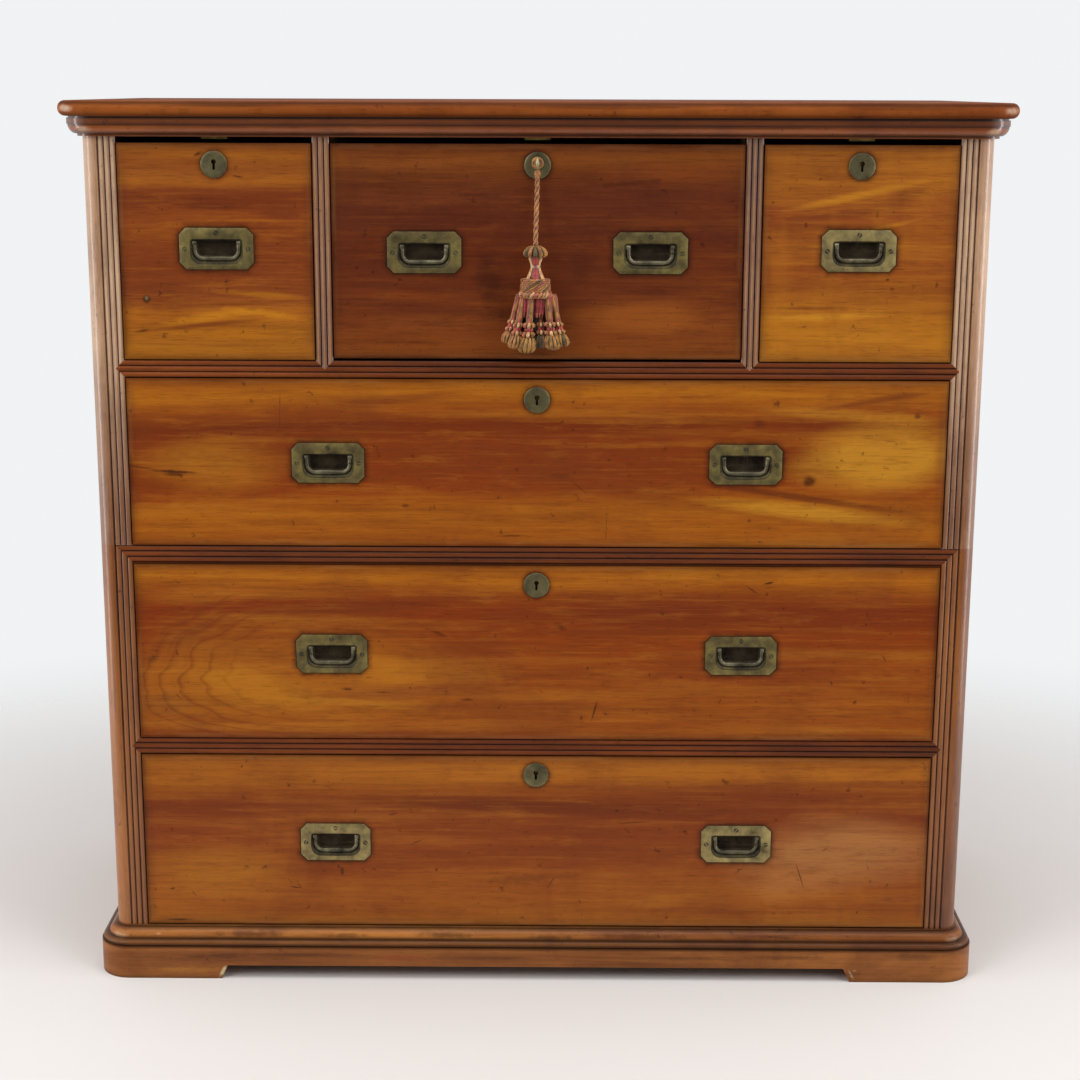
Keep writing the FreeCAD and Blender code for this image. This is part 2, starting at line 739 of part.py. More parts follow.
def bail(label, x, z):
    """The D-shaped grip, hung on two pins in the sides of the dish."""
    body = new_body(label)
    place(body, x, f"{FRONT} + bailInset", f"{z} + pivotRise")
    arm, drop = "bailWidth / 2", "bailDrop"
    path = sketch(body, "XZ_Plane", "Path")
    bend = "bailCorner * octagonCut"
    outline(path, [(f"-{arm}", "bailRod / 2"), (f"-{arm}", f"-{drop} + bailCorner"),
                   (f"-{arm} + {bend}", f"-{drop} + {bend}"), (f"-{arm} + bailCorner", f"-{drop}"),
                   (f"{arm} - bailCorner", f"-{drop}"), (f"{arm} - {bend}", f"-{drop} + {bend}"),
                   (arm, f"-{drop} + bailCorner"), (arm, "bailRod / 2")], closed=False)
    section = canted(sketch(body, "XY_Plane", "Section", "bailRod / 2"), "bailRod", "bailRod",
                     "bailRod * octagonCut", f"-{arm}")
    doc.recompute()
    bow = body.newObject("PartDesign::AdditivePipe", "Bow")
    bow.Profile = section
    bow.Spine = (path, [])
    bow.Transition = "Right corner"
    doc.recompute()
    for side, sign in (("Left", "-"), ("Right", "")):
        pin = circle(sketch(body, "YZ_Plane", f"{side}Pin", f"{sign}{arm}"), "0", "0", "pivotPin / 2")
        pad(body, pin, "pivotReach", reverse=bool(sign))
    return node(body)


def keyhole(item, x, z):
    """A round hole with a slot below it, drawn as one outline."""
    half = "keyholeRadius / 2"
    foot = f"{z} - keyholeDrop"
    shoulder = f"{z} - keyholeRadius * 0.75 ^ 0.5"
    return outline(item, [(f"{x} - {half}", foot), (f"{x} + {half}", foot), (f"{x} + {half}", shoulder),
                          (f"{x}", f"{z} + keyholeRadius", "keyholeRadius"),
                          (f"{x} - {half}", shoulder, "keyholeRadius")])


def escutcheon(label, x, z):
    body = new_body(label)
    pad(body, circle(sketch(body, "XZ_Plane", "Disc", f"-{FRONT}"), x, z, "escutcheonRadius"),
        "escutcheonThickness", reverse=True)
    pocket(body, keyhole(sketch(body, "XZ_Plane", "Keyhole", f"-{FRONT}"), x, f"{z} + keyholeRise"),
           "escutcheonThickness")
    return body


def lock(label, x, top, back, bolt=False):
    """A brass box lock let into the back of a drawer front, flush with its top edge."""
    case = board(f"{label}_case", (f"{x} - lockWidth / 2", f"{back} - lockThickness", f"{top} - lockHeight"),
                 (f"{x} + lockWidth / 2", back, top))
    hole = rod(f"{label}_hole", "shankRadius + runGap", "lockThickness - lockPlate", x,
               f"{back} - lockThickness - overcut", f"{top} - lockDown + keyholeRise", axis=(0, 1, 0))
    if not bolt:
        return cut(label, case, hole)
    plate = f"{back} - lockThickness + lockPlate"
    channel = board(f"{label}_channel",
                    (f"{x} - boltWidth / 2 - runGap", f"{plate} - runGap", f"{top} - boltLength - overcut"),
                    (f"{x} + boltWidth / 2 + runGap", f"{plate} + boltThickness + runGap",
                     f"{top} + overcut"))
    return cut(label, case, hole, channel)


# ---------------------------------------------------------------- drawers
def fit_brass(body, xs, middle, centre, high, back):
    """Cut the seats for the handle plates, the escutcheon, the keyhole and the lock in a front."""
    for count, x in enumerate(xs):
        seat = sketch(body, "XZ_Plane", f"PlateSeat{count}", f"-{FRONT}")
        pocket(body, canted(seat, "plateWidth", "plateHeight", "plateCant", x, middle), "plateThickness")
        mortise = sketch(body, "XZ_Plane", f"PanMortise{count}", f"-{FRONT}")
        room = "(dishWall + runGap)"
        rectangle(mortise, f"{x} - dishWidth / 2 - {room}", f"{middle} - dishBottom - {room}",
                  f"{x} + dishWidth / 2 + {room}", f"{middle} + dishTop + {room}")
        pocket(body, mortise, "fingerDepth + dishWall + runGap")
    lock_level = f"{high} - lockDown"
    seat = circle(sketch(body, "XZ_Plane", "EscutcheonSeat", f"-{FRONT}"), centre, lock_level,
                  "escutcheonRadius")
    pocket(body, seat, "escutcheonThickness")
    hole = keyhole(sketch(body, "XZ_Plane", "Keyhole", f"-{FRONT}"), centre, f"{lock_level} + keyholeRise")
    pocket(body, hole, "frontThickness")
    mortise = sketch(body, "XZ_Plane", "LockMortise", f"-({back})")
    rectangle(mortise, f"{centre} - lockWidth / 2", f"{high} - lockHeight", f"{centre} + lockWidth / 2", high)
    pocket(body, mortise, "lockThickness", reverse=True)


def tails(front, low, high):
    """The front edge of a drawer side, from the top down, as dovetails that widen towards the front."""
    count = int((mm(high) - mm(low)) / mm("tailPitch"))
    pitch = f"(({high} - {low}) / {count})"
    edge = []
    for i in range(count):
        middle = f"{high} - ({i} + 0.5) * {pitch}"
        root, tip = "(tailWidth / 2 - tailSplay)", "(tailWidth / 2)"
        edge.append([(front, f"{middle} + {root}"), (f"{front} - tailLength", f"{middle} + {tip}"),
                     (f"{front} - tailLength", f"{middle} - {tip}"), (front, f"{middle} - {root}")])
    return edge


def drawer_box(name, centre, half, floor, high, front, side="boxSide"):
    """Two sides dovetailed to the front and grooved for the bottom, the bottom, and a back on it."""
    end = f"({FRONT} + frontThickness + {BOX_LENGTH})"
    base = f"({floor} + bottomRise)"
    low = f"({floor} + runGap)"
    top = f"({high} - sideDrop)"
    pieces = []
    for hand, sign in (("left", "-1"), ("right", "1")):
        outer = f"{centre} + {sign} * ({half})"
        inner = f"{centre} + {sign} * ({half} - {side})"
        near, far = (outer, inner) if sign == "-1" else (inner, outer)
        plank = new_body(f"{name}_{hand}_plank")
        points = [(end, low), (end, top), (front, top), *sum(tails(front, low, top), []), (front, low)]
        pad(plank, outline(sketch(plank, "YZ_Plane", "Side", near), points), side)
        groove_near = f"{far} - grooveDepth" if sign == "-1" else f"{near} - overcut"
        groove_far = f"{far} + overcut" if sign == "-1" else f"{near} + grooveDepth"
        groove = board(f"{name}_{hand}_groove", (groove_near, front, base),
                       (groove_far, f"{end} + overcut", f"{base} + boxBottom"))
        pieces.append(cut(f"{name}_{hand}_side", plank, groove))
    inside = f"({half} - {side})"
    pieces.append(board(f"{name}_bottom", (f"{centre} - {inside} - grooveDepth", front, base),
                        (f"{centre} + {inside} + grooveDepth", end, f"{base} + boxBottom")))
    pieces.append(board(f"{name}_back", (f"{centre} - {inside}", f"{end} - boxBack", f"{base} + boxBottom"),
                        (f"{centre} + {inside}", end, f"{high} - backDrop")))
    return node(group(f"{name}_box", pieces))


def plain_drawer(name, centre, half, low, high, floor, xs, rise="0"):
    """A drawer: its front with brass and lock let in, its box, and a bail for each plate."""
    back = f"{FRONT} + frontThickness"
    middle = f"(({low} + {high}) / 2 + {rise})"
    front = new_body(f"{name}_front")
    face = rectangle(sketch(front, "XZ_Plane", "Face", f"-{FRONT}"), f"{centre} - ({half})", low,
                     f"{centre} + ({half})", high)
    pad(front, face, "frontThickness", reverse=True)
    fit_brass(front, xs, middle, centre, high, back)
    box_half = f"({half} + frontGap - boxGap)"
    for hand, near in (("Left", f"{centre} - {box_half}"), ("Right", f"{centre} + {box_half} - boxSide")):
        for count, tail in enumerate(tails(f"({back})", f"({floor} + runGap)", f"({high} - sideDrop)")):
            socket = sketch(front, "YZ_Plane", f"{hand}Socket{count}", near)
            pocket(front, outline(socket, tail), "boxSide", reverse=True)
    node(front)
    drawer_box(name, centre, box_half, floor, high, f"({back})")
    plates = [handle_plate(f"{name}_plate_{count}", x, middle) for count, x in enumerate(xs)]
    node(group(f"{name}_brass", plates + [escutcheon(f"{name}_escutcheon", centre, f"{high} - lockDown"),
                                          lock(f"{name}_lock", centre, high, back)]))
    hands = ("left", "right") if len(xs) == 2 else ("",)
    for hand, x in zip(hands, xs):
        bail("_".join(filter(None, (name, hand, "bail"))), x, middle)


LONG_HALF = f"({OPENING} - frontGap)"
LONG_HANDLES = ("-handleSpacing / 2", "handleSpacing / 2")
CORNER_CENTRE = f"(({DIVIDER} + {RAIL} / 2 + {OPENING}) / 2)"
CORNER_HALF = f"(({OPENING} - {DIVIDER} - {RAIL} / 2) / 2 - frontGap)"
TOP_EDGE = f"({CASE_TOP} - topGap)"
plain_drawer("bottom_drawer", "0", LONG_HALF, "(plinthHeight + 2 * frontGap)", f"({MIDDLE_RAIL} - frontGap)",
             LOWER_FLOOR, LONG_HANDLES, "(-1 * lowerHandleDrop)")
plain_drawer("middle_drawer", "0", LONG_HALF, f"({MIDDLE_ROW} + frontGap)", f"({TOP_RAIL} - frontGap)",
             MIDDLE_ROW, LONG_HANDLES, "(-1 * lowerHandleDrop)")
plain_drawer("long_drawer", "0", LONG_HALF, f"({SPLIT} + frontGap)", f"({UPPER_RAIL} - frontGap)",
             UPPER_FLOOR, LONG_HANDLES)
plain_drawer("left_drawer", f"-{CORNER_CENTRE}", CORNER_HALF, f"({TOP_ROW} + frontGap)", TOP_EDGE, TOP_ROW,
             (f"-{CORNER_CENTRE}",), "cornerHandleRise")
plain_drawer("right_drawer", CORNER_CENTRE, CORNER_HALF, f"({TOP_ROW} + frontGap)", TOP_EDGE, TOP_ROW,
             (CORNER_CENTRE,), "cornerHandleRise")

# ---------------------------------------------------------------- secretaire
FALL_LOW = f"({TOP_ROW} + fallGap)"
FALL_BACK = f"({FRONT} + fallThickness)"
AXIS_Y = f"({FRONT} + fallThickness / 2)"
AXIS_Z = f"({FALL_LOW} + fallThickness / 2)"
FALL_HALF = "(centreOpening / 2 - frontGap)"
NEST_FRONT = f"({FALL_BACK} + fallGap)"
SIDE_IN = "(centreOpening / 2 - boxGap - secretaireSide)"
SIDE_OUT = "(centreOpening / 2 - boxGap)"
SIDE_FRONT = f"({FALL_BACK} - fallLap + runGap)"
BOX_END = f"({FRONT} + frontThickness + {BOX_LENGTH})"
WRITING_TOP = f"({FALL_LOW} + fallThickness)"
WRITING_LOW = f"({WRITING_TOP} - writingBoard)"
HINGE_X = f"({SIDE_IN} - hingeInset)"

fall = new_body("fall_front")
slab = sketch(fall, "YZ_Plane", "Slab", f"-{FALL_HALF}")
outline(slab, [(FRONT, TOP_EDGE), (FRONT, f"{FALL_LOW} + fallCorner"),
               (f"{FRONT} + fallCorner", FALL_LOW, "fallCorner"), (f"{FALL_BACK} - fallCorner", FALL_LOW),
               (FALL_BACK, f"{FALL_LOW} + fallCorner", "fallCorner"), (FALL_BACK, TOP_EDGE)])
pad(fall, slab, f"2 * {FALL_HALF}")
for lap_side, near, far in (("Left", f"-{FALL_HALF} - overcut", f"-{SIDE_IN} + runGap"),
                            ("Right", f"{SIDE_IN} - runGap", f"{FALL_HALF} + overcut")):
    lap = sketch(fall, "XZ_Plane", f"{lap_side}Lap", f"-{FALL_BACK}")
    rectangle(lap, near, f"{FALL_LOW} - overcut", far, f"{TOP_EDGE} + overcut")
    pocket(fall, lap, "fallLap", reverse=True)
fall_middle = f"(({TOP_ROW} + frontGap + {TOP_EDGE}) / 2 + fallHandleRise)"
fit_brass(fall, ("-centreSpacing / 2", "centreSpacing / 2"), fall_middle, "0", TOP_EDGE, FALL_BACK)
for side, sign in (("Left", "-1"), ("Right", "1")):
    notch = sketch(fall, "XZ_Plane", f"{side}HingeNotch", f"-{FALL_BACK}")
    rectangle(notch, f"{sign} * {HINGE_X} - hingeLength / 2 - runGap", f"{FALL_LOW} - overcut",
              f"{sign} * {HINGE_X} + hingeLength / 2 + runGap", f"{AXIS_Z} + hingeKnuckle + runGap")
    pocket(fall, notch, "fallThickness / 2 + hingeKnuckle + runGap", reverse=True)
    pin_bore = sketch(fall, "YZ_Plane", f"{side}PinBore",
                      f"{sign} * {HINGE_X} - hingeLength / 2 - hingePinReach - overcut")
    circle(pin_bore, AXIS_Y, AXIS_Z, "hingePin + pinGap")
    pocket(fall, pin_bore, "hingeLength + 2 * (hingePinReach + overcut)", reverse=True)
inset = sketch(fall, "XZ_Plane", "LeatherSeat", f"-{FALL_BACK}")
leather_half = f"({SIDE_IN} - leatherMargin)"
leather_low = f"({FALL_LOW} + leatherMargin)"
leather_high = f"({TOP_EDGE} - lockHeight - leatherMargin / 2)"
rectangle(inset, f"-{leather_half}", leather_low, leather_half, leather_high)
pocket(fall, inset, "leatherThickness", reverse=True)
node(fall)
node(board("writing_leather", (f"-{leather_half}", f"{FALL_BACK} - leatherThickness", leather_low),
           (leather_half, FALL_BACK, leather_high)))


def stay(label, x, thickness, half_width, low, high):
    """A quarter ring about the hinge line of the fall, in a plane across the chest."""
    body = new_body(label)
    ring = sketch(body, "YZ_Plane", "Ring", x)
    outer, inner = f"(stayRadius + {half_width})", f"(stayRadius - {half_width})"
    outer_low = f"{AXIS_Y} + ({outer} ^ 2 - ({low}) ^ 2) ^ 0.5"
    inner_low = f"{AXIS_Y} + ({inner} ^ 2 - ({low}) ^ 2) ^ 0.5"
    outer_high = f"{AXIS_Z} + ({outer} ^ 2 - ({high}) ^ 2) ^ 0.5"
    inner_high = f"{AXIS_Z} + ({inner} ^ 2 - ({high}) ^ 2) ^ 0.5"
    outline(ring, [(outer_low, f"{AXIS_Z} + ({low})"), (f"{AXIS_Y} + ({high})", outer_high, outer),
                   (f"{AXIS_Y} + ({high})", inner_high), (inner_low, f"{AXIS_Z} + ({low})", f"-{inner}")])
    pad(body, ring, thickness)
    return body


STAY_LOW = "(-stayTail)"
stay_blade = stay("stay_blade", f"-{SIDE_IN} - stayThickness - runGap", "stayThickness", "stayWidth / 2",
                  STAY_LOW, "fallThickness / 2 - fallLap")
fall_plates = [handle_plate(f"fall_plate_{count}", f"{sign} * centreSpacing / 2", fall_middle)
               for count, sign in enumerate((-1, 1))]
node(group("fall_brass", fall_plates + [escutcheon("fall_escutcheon", "0", f"{TOP_EDGE} - lockDown"),
                                        lock("fall_lock", "0", TOP_EDGE, FALL_BACK, bolt=True)]))
pair("fall_stays", stay_blade)
bail("fall_left_bail", "-centreSpacing / 2", fall_middle)
bail("fall_right_bail", "centreSpacing / 2", fall_middle)

secretaire_side = board("secretaire_plank", (f"-{SIDE_OUT}", SIDE_FRONT, f"{TOP_ROW} + runGap"),
                        (f"-{SIDE_IN}", BOX_END, f"{TOP_EDGE} - sideDrop"))
heel = board("secretaire_heel",
             (f"-{SIDE_OUT} - overcut", f"{SIDE_FRONT} - overcut", f"{TOP_ROW} - overcut"),
             (f"-{SIDE_IN} + overcut", NEST_FRONT, f"{AXIS_Z} + fallThickness / 2 + fallGap"))
stay_groove = stay("stay_groove", f"-{SIDE_IN} - stayThickness - 2 * runGap", "stayThickness + 3 * runGap",
                   "(stayWidth / 2 + runGap)", f"({STAY_LOW} - runGap)",
                   "fallThickness / 2 - fallLap - overcut")
left_side = cut("secretaire_left_side", secretaire_side, heel, stay_groove)
node(group("secretaire_box", [
    left_side, mirror("secretaire_right_side", left_side),
    board("writing_board", (f"-{SIDE_IN}", NEST_FRONT, WRITING_LOW), (SIDE_IN, BOX_END, WRITING_TOP)),
    board("secretaire_back", (f"-{SIDE_IN}", f"{BOX_END} - boxBack", WRITING_TOP),
          (SIDE_IN, BOX_END, f"{TOP_EDGE} - backDrop"))]))


def hinge(label, x):
    """A knuckle and leaf fixed under the writing board, with a pin that the fall turns on."""
    knuckle = rod(f"{label}_knuckle", "hingeKnuckle", "hingeLength", f"{x} - hingeLength / 2", AXIS_Y, AXIS_Z,
                  axis=(1, 0, 0))
    pin = rod(f"{label}_pin", "hingePin", "hingeLength + 2 * hingePinReach",
              f"{x} - hingeLength / 2 - hingePinReach", AXIS_Y, AXIS_Z, axis=(1, 0, 0))
    leaf = board(f"{label}_leaf", (f"{x} - hingeLength / 2", AXIS_Y, f"{WRITING_LOW} - leafThickness"),
                 (f"{x} + hingeLength / 2", f"{NEST_FRONT} + leafLength", WRITING_LOW))
    result = doc.addObject("Part::MultiFuse", label.title().replace("_", ""))
    result.Shapes = [knuckle, pin, leaf]
    result.Label = label
    return result


pair("fall_hinges", hinge("left_hinge", f"-1 * {HINGE_X}"))

# pigeonholes: a light case standing on the writing board against the back
NEST_HALF = f"({SIDE_IN} - nestInset)"
NEST_BACK = f"({BOX_END} - boxBack)"
NEST_FACE = f"({NEST_BACK} - nestDepth)"
NEST_TOP = f"({TOP_EDGE} - backDrop)"
SHELF = f"({WRITING_TOP} + nestTier)"
nest = [
    board("nest_shelf", (f"-{NEST_HALF} + nestBoard", NEST_FACE, SHELF),
          (f"{NEST_HALF} - nestBoard", NEST_BACK, f"{SHELF} + nestBoard")),
    board("nest_top", (f"-{NEST_HALF} + nestBoard", NEST_FACE, f"{NEST_TOP} - nestBoard"),
          (f"{NEST_HALF} - nestBoard", NEST_BACK, NEST_TOP)),
]
for hand, sign in (("left", "-1"), ("right", "1")):
    near, far = sorted((f"{sign} * {NEST_HALF}", f"{sign} * ({NEST_HALF} - nestBoard)"), key=mm)
    nest.append(board(f"nest_{hand}_end", (near, NEST_FACE, WRITING_TOP), (far, NEST_BACK, NEST_TOP)))
COLUMN_PITCH = f"((2 * {NEST_HALF} - nestBoard) / nestColumns)"
for count in range(1, int(SIZES["nestColumns"])):
    x = f"-{NEST_HALF} + {count} * {COLUMN_PITCH}"
    nest.append(board(f"nest_division_{count}", (x, NEST_FACE, f"{SHELF} + nestBoard"),
                      (f"{x} + nestBoard", NEST_BACK, f"{NEST_TOP} - nestBoard")))
for hand, count in (("left", 2), ("right", int(SIZES["nestColumns"]) - 2)):
    x = f"-{NEST_HALF} + {count} * {COLUMN_PITCH}"
    nest.append(board(f"nest_{hand}_post", (x, NEST_FACE, WRITING_TOP),
                      (f"{x} + nestBoard", NEST_BACK, SHELF)))
node(group("pigeonholes", nest))


def small_drawer(label, near, far):
    """A small stationery drawer of five boards, with a turned knob."""
    low, high = f"({WRITING_TOP} + runGap)", f"({SHELF} - 2 * runGap)"
    back = f"({NEST_BACK} - rearGap)"
    face = f"({NEST_FACE} + nestFront)"
    middle, level = f"({near} + {far}) / 2", f"({low} + {high}) / 2"
    inner_near, inner_far = f"({near} + nestSide)", f"({far} - nestSide)"
    neck = rod(f"{label}_neck", "knobRadius / 2", "knobRadius", middle, f"{NEST_FACE} - knobRadius", level,
               axis=(0, 1, 0))
    head = rod(f"{label}_head", "knobRadius", "knobRadius", middle, f"{NEST_FACE} - 2 * knobRadius", level,
               axis=(0, 1, 0))
    knob = doc.addObject("Part::MultiFuse", f"{label}_knob".title().replace("_", ""))
    knob.Shapes = [neck, head]
    knob.Label = f"{label}_knob"
    return node(group(label, [
        board(f"{label}_face", (near, NEST_FACE, low), (far, face, high)),
        board(f"{label}_near_side", (near, face, low), (inner_near, back, high)),
        board(f"{label}_far_side", (inner_far, face, low), (far, back, high)),
        board(f"{label}_tail", (inner_near, f"{back} - nestSide", low), (inner_far, back, high)),
        board(f"{label}_floor", (inner_near, face, low),
              (inner_far, f"{back} - nestSide", f"{low} + nestSide")),
        knob]))


small_near = f"(-{NEST_HALF} + nestBoard + runGap)"
small_far = f"(-{NEST_HALF} + 2 * {COLUMN_PITCH} - runGap)"
small_drawer("small_left_drawer", small_near, small_far)
small_drawer("small_right_drawer", f"(-1 * {small_far})", f"(-1 * {small_near})")

# strike plates in the gap over the top row, above each lock
strikes = []
DRAWER_BACK = f"({FRONT} + frontThickness)"
locked = ((f"-{CORNER_CENTRE}", DRAWER_BACK), ("0", FALL_BACK), (CORNER_CENTRE, DRAWER_BACK))
for count, (x, back) in enumerate(locked):
    middle_y = f"({back} - lockThickness + lockPlate + boltThickness / 2)"
    plate = board(f"strike_plate_{count}", (f"{x} - strikeWidth / 2", f"{middle_y} - strikeDepth / 2",
                                            f"{CASE_TOP} - strikeThickness"),
                  (f"{x} + strikeWidth / 2", f"{middle_y} + strikeDepth / 2", CASE_TOP))
    slot_half, slot_deep = "(boltWidth / 2 + strikeGap)", "(boltThickness / 2 + strikeGap)"
    slot = board(f"strike_slot_{count}", (f"{x} - {slot_half}", f"{middle_y} - {slot_deep}",
                                          f"{CASE_TOP} - strikeThickness - overcut"),
                 (f"{x} + {slot_half}", f"{middle_y} + {slot_deep}", f"{CASE_TOP} + overcut"))
    strikes.append(cut(f"strike_{count}", plate, slot))
node(group("strike_plates", strikes))
BOLT_FACE = f"({FALL_BACK} - lockThickness + lockPlate)"
node(board("lock_bolt", ("-boltWidth / 2", BOLT_FACE, f"{TOP_EDGE} - boltLength"),
           ("boltWidth / 2", f"{BOLT_FACE} + boltThickness", TOP_EDGE)))

# key, cord and tassel
KEY_Z = f"({TOP_EDGE} - lockDown + keyholeRise)"
key = new_body("key")
place(key, "0", FRONT, KEY_Z)
shank = circle(sketch(key, "XZ_Plane", "Shank", "shankReach"), "0", "0", "shankRadius")
pad(key, shank, "shankReach + fallThickness - lockThickness + keyTip", reverse=True)
bow_outline = sketch(key, "YZ_Plane", "Bow", "-bowWire / 2")
circle(bow_outline, "-shankReach - bowDepth / 2 + bowWire / 2", "0", "bowDepth / 2")
circle(bow_outline, "-shankReach - bowDepth / 2 + bowWire / 2", "0", "bowDepth / 2 - bowWire")
pad(key, bow_outline, "bowWire")
node(key)

EYE_Y = f"({FRONT} - cordTurn)"
eye = new_body("cord_eye")
ring = sketch(eye, "XZ_Plane", "Ring", f"-({EYE_Y}) + cordRadius")
for loop in ("2 * (shankRadius + 2 * runGap)", "2 * (shankRadius + 2 * runGap + 2 * cordRadius)"):
    canted(ring, loop, loop, f"{loop} * octagonCut", y=KEY_Z)
pad(eye, ring, "2 * cordRadius", reverse=True)
node(eye)


def stack(body, rings):
    """Join a row of eight-sided rings, each (width, depth, y, height), with flat faces."""
    sections = []
    for count, (across, deep, y, level) in enumerate(rings):
        ring = sketch(body, "XY_Plane", f"Ring{count}", level)
        sections.append(canted(ring, across, deep, f"({deep}) * octagonCut", y=y))
    doc.recompute()
    loft = body.newObject("PartDesign::AdditiveLoft", "Loft")
    loft.Profile = sections[0]
    loft.Sections = sections[1:]
    loft.Ruled = True
    doc.recompute()


KNOT_Z = f"({KEY_Z} - knotDrop)"
cord = new_body("tassel_cord")
place(cord, "0", EYE_Y, KNOT_Z)
knot = circle(sketch(cord, "YZ_Plane", "Knot", "-knotRadius"), "0", "0", "knotRadius")
pad(cord, knot, "2 * knotRadius")
stack(cord, [("2 * cordRadius", "2 * cordRadius", "0", "0"),
             ("2 * cordRadius", "2 * cordRadius", "cordTurn - tasselOut", "-cordLength")])
node(cord)

tassel = new_body("tassel")
place(tassel, "0", f"({FRONT} - tasselOut)", f"({KNOT_Z} - cordLength)")
stack(tassel, [("ruffleTop", "ruffleTop", "0", "0"), ("ruffleWidth", "ruffleWidth", "0", "-ruffleLevel"),
               ("neckWidth", "neckWidth", "0", "-neckLevel"), ("neckFoot", "neckWidth", "0", "-collarLevel"),
               ("collarWidth", "collarDepth", "0", "-collarLevel - collarRise"),
               ("collarWidth", "collarDepth", "0", "-collarFoot"),
               ("skirtWidth", "skirtDepth", "0", "-tasselLength + skirtTuck"),
               ("skirtWidth - skirtTuck", "skirtDepth - skirtTuck / 2", "0", "-tasselLength")])
node(tassel)

# ---------------------------------------------------------------- check and write
doc.recompute()
faults = [item.Label for item in doc.Objects if "Invalid" in item.State or "Error" in item.State]
faults += [item.Label for item in NODES if item.Shape.isNull() or not item.Shape.isValid()]
if faults:
    raise RuntimeError(f"failed: {faults}")
os.makedirs("parts", exist_ok=True)
for item in NODES:
    item.Shape.exportStep(f"parts/{item.Label}.step")
    print(item.Label, len(item.Shape.Solids), "solids")
print(len(NODES), "nodes")
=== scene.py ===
import math
from functools import partial
import bmesh
import bpy
from mathutils import Matrix, Vector


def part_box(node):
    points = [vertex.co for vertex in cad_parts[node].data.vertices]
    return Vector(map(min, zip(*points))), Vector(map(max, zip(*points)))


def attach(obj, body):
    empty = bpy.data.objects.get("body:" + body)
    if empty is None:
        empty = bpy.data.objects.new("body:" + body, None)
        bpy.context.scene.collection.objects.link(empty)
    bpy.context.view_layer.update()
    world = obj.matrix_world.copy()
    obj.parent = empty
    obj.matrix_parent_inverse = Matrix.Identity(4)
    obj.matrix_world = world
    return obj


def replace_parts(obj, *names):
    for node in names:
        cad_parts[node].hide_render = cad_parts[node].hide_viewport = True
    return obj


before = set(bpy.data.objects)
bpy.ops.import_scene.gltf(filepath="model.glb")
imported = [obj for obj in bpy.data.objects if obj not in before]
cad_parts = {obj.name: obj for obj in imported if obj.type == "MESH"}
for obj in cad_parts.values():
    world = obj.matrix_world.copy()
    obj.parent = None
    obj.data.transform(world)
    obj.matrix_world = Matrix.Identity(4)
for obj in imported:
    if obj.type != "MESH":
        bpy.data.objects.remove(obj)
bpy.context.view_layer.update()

frontFace = -0.225  # the plane that the drawer fronts and the reeds' crests lie in
print("frame loaded")

# the camera stands a little to the right and above, and looks down; angles in degrees, the lens in millimetres
view = {"place": (0.01966, -2.607, 1.1095), "down": 12.76, "turn": 0.371, "tilt": 0.185, "lens": 66.667, "film": 36}
lensData = bpy.data.cameras.new("camera")
lensData.lens = view["lens"]
lensData.sensor_width = view["film"]
camera = bpy.data.objects.new("camera", lensData)
camera.matrix_world = (Matrix.Translation(view["place"]) @ Matrix.Rotation(math.radians(view["turn"]), 4, "Z")
                       @ Matrix.Rotation(math.radians(90 - view["down"]), 4, "X")
                       @ Matrix.Rotation(math.radians(view["tilt"]), 4, "Z"))
bpy.context.collection.objects.link(camera)
bpy.context.scene.camera = camera


def toLinear(hexCode):
    channels = [int(hexCode[i:i + 2], 16) / 255 for i in (0, 2, 4)]
    return [c / 12.92 if c <= 0.04045 else ((c + 0.055) / 1.055) ** 2.4 for c in channels] + [1.0]


def feed(socket, value):
    # gives a socket its value, or links it to another socket or to a node's first open output
    if isinstance(value, bpy.types.Node):
        value = next(output for output in value.outputs if output.enabled)
    if isinstance(value, bpy.types.NodeSocket):
        socket.id_data.links.new(value, socket)
    else:
        socket.default_value = value


def addNode(tree, kind, *inputs, stops=(), **named):
    # adds a node and links it: its operation may follow its kind, a name in small letters is a setting, and the rest
    # are its inputs, in order or by name
    kind, _, operation = kind.partition(" ")
    node = tree.nodes.new("ShaderNode" + kind)
    if operation:
        node.operation = operation
    for name in [name for name in named if name.islower()]:
        setattr(node, name, named.pop(name))
    while stops and len(node.color_ramp.elements) < len(stops):
        node.color_ramp.elements.new(1)
    for element, (place, colour) in zip(node.color_ramp.elements if stops else (), stops):
        element.position = place
        element.color = toLinear(colour) if isinstance(colour, str) else (colour, colour, colour, 1)
    sockets = [socket for socket in node.inputs if socket.enabled]
    for socket, value in [*zip(sockets, inputs), *((node.inputs[name], value) for name, value in named.items())]:
        feed(socket, value)
    return node


def newMaterial(name):
    material = bpy.data.materials.new(name)
    material.use_nodes = True
    tree = material.node_tree
    return material, tree.nodes["Principled BSDF"], partial(addNode, tree)


def setShader(shader, values):
    for name, value in values.items():
        feed(shader.inputs[name], value)


def insideEdges(add, axes, low, high):
    # how far inside the ends (X) and the foot and head (Z) of an upright box a point lies
    reach = []
    for i in (0, 2):
        offset = add("Math SUBTRACT", axes[i], (low[i] + high[i]) / 2)
        reach.append(add("Math SUBTRACT", (high[i] - low[i]) / 2, add("Math ABSOLUTE", offset)))
    return add("Math MINIMUM", *reach)


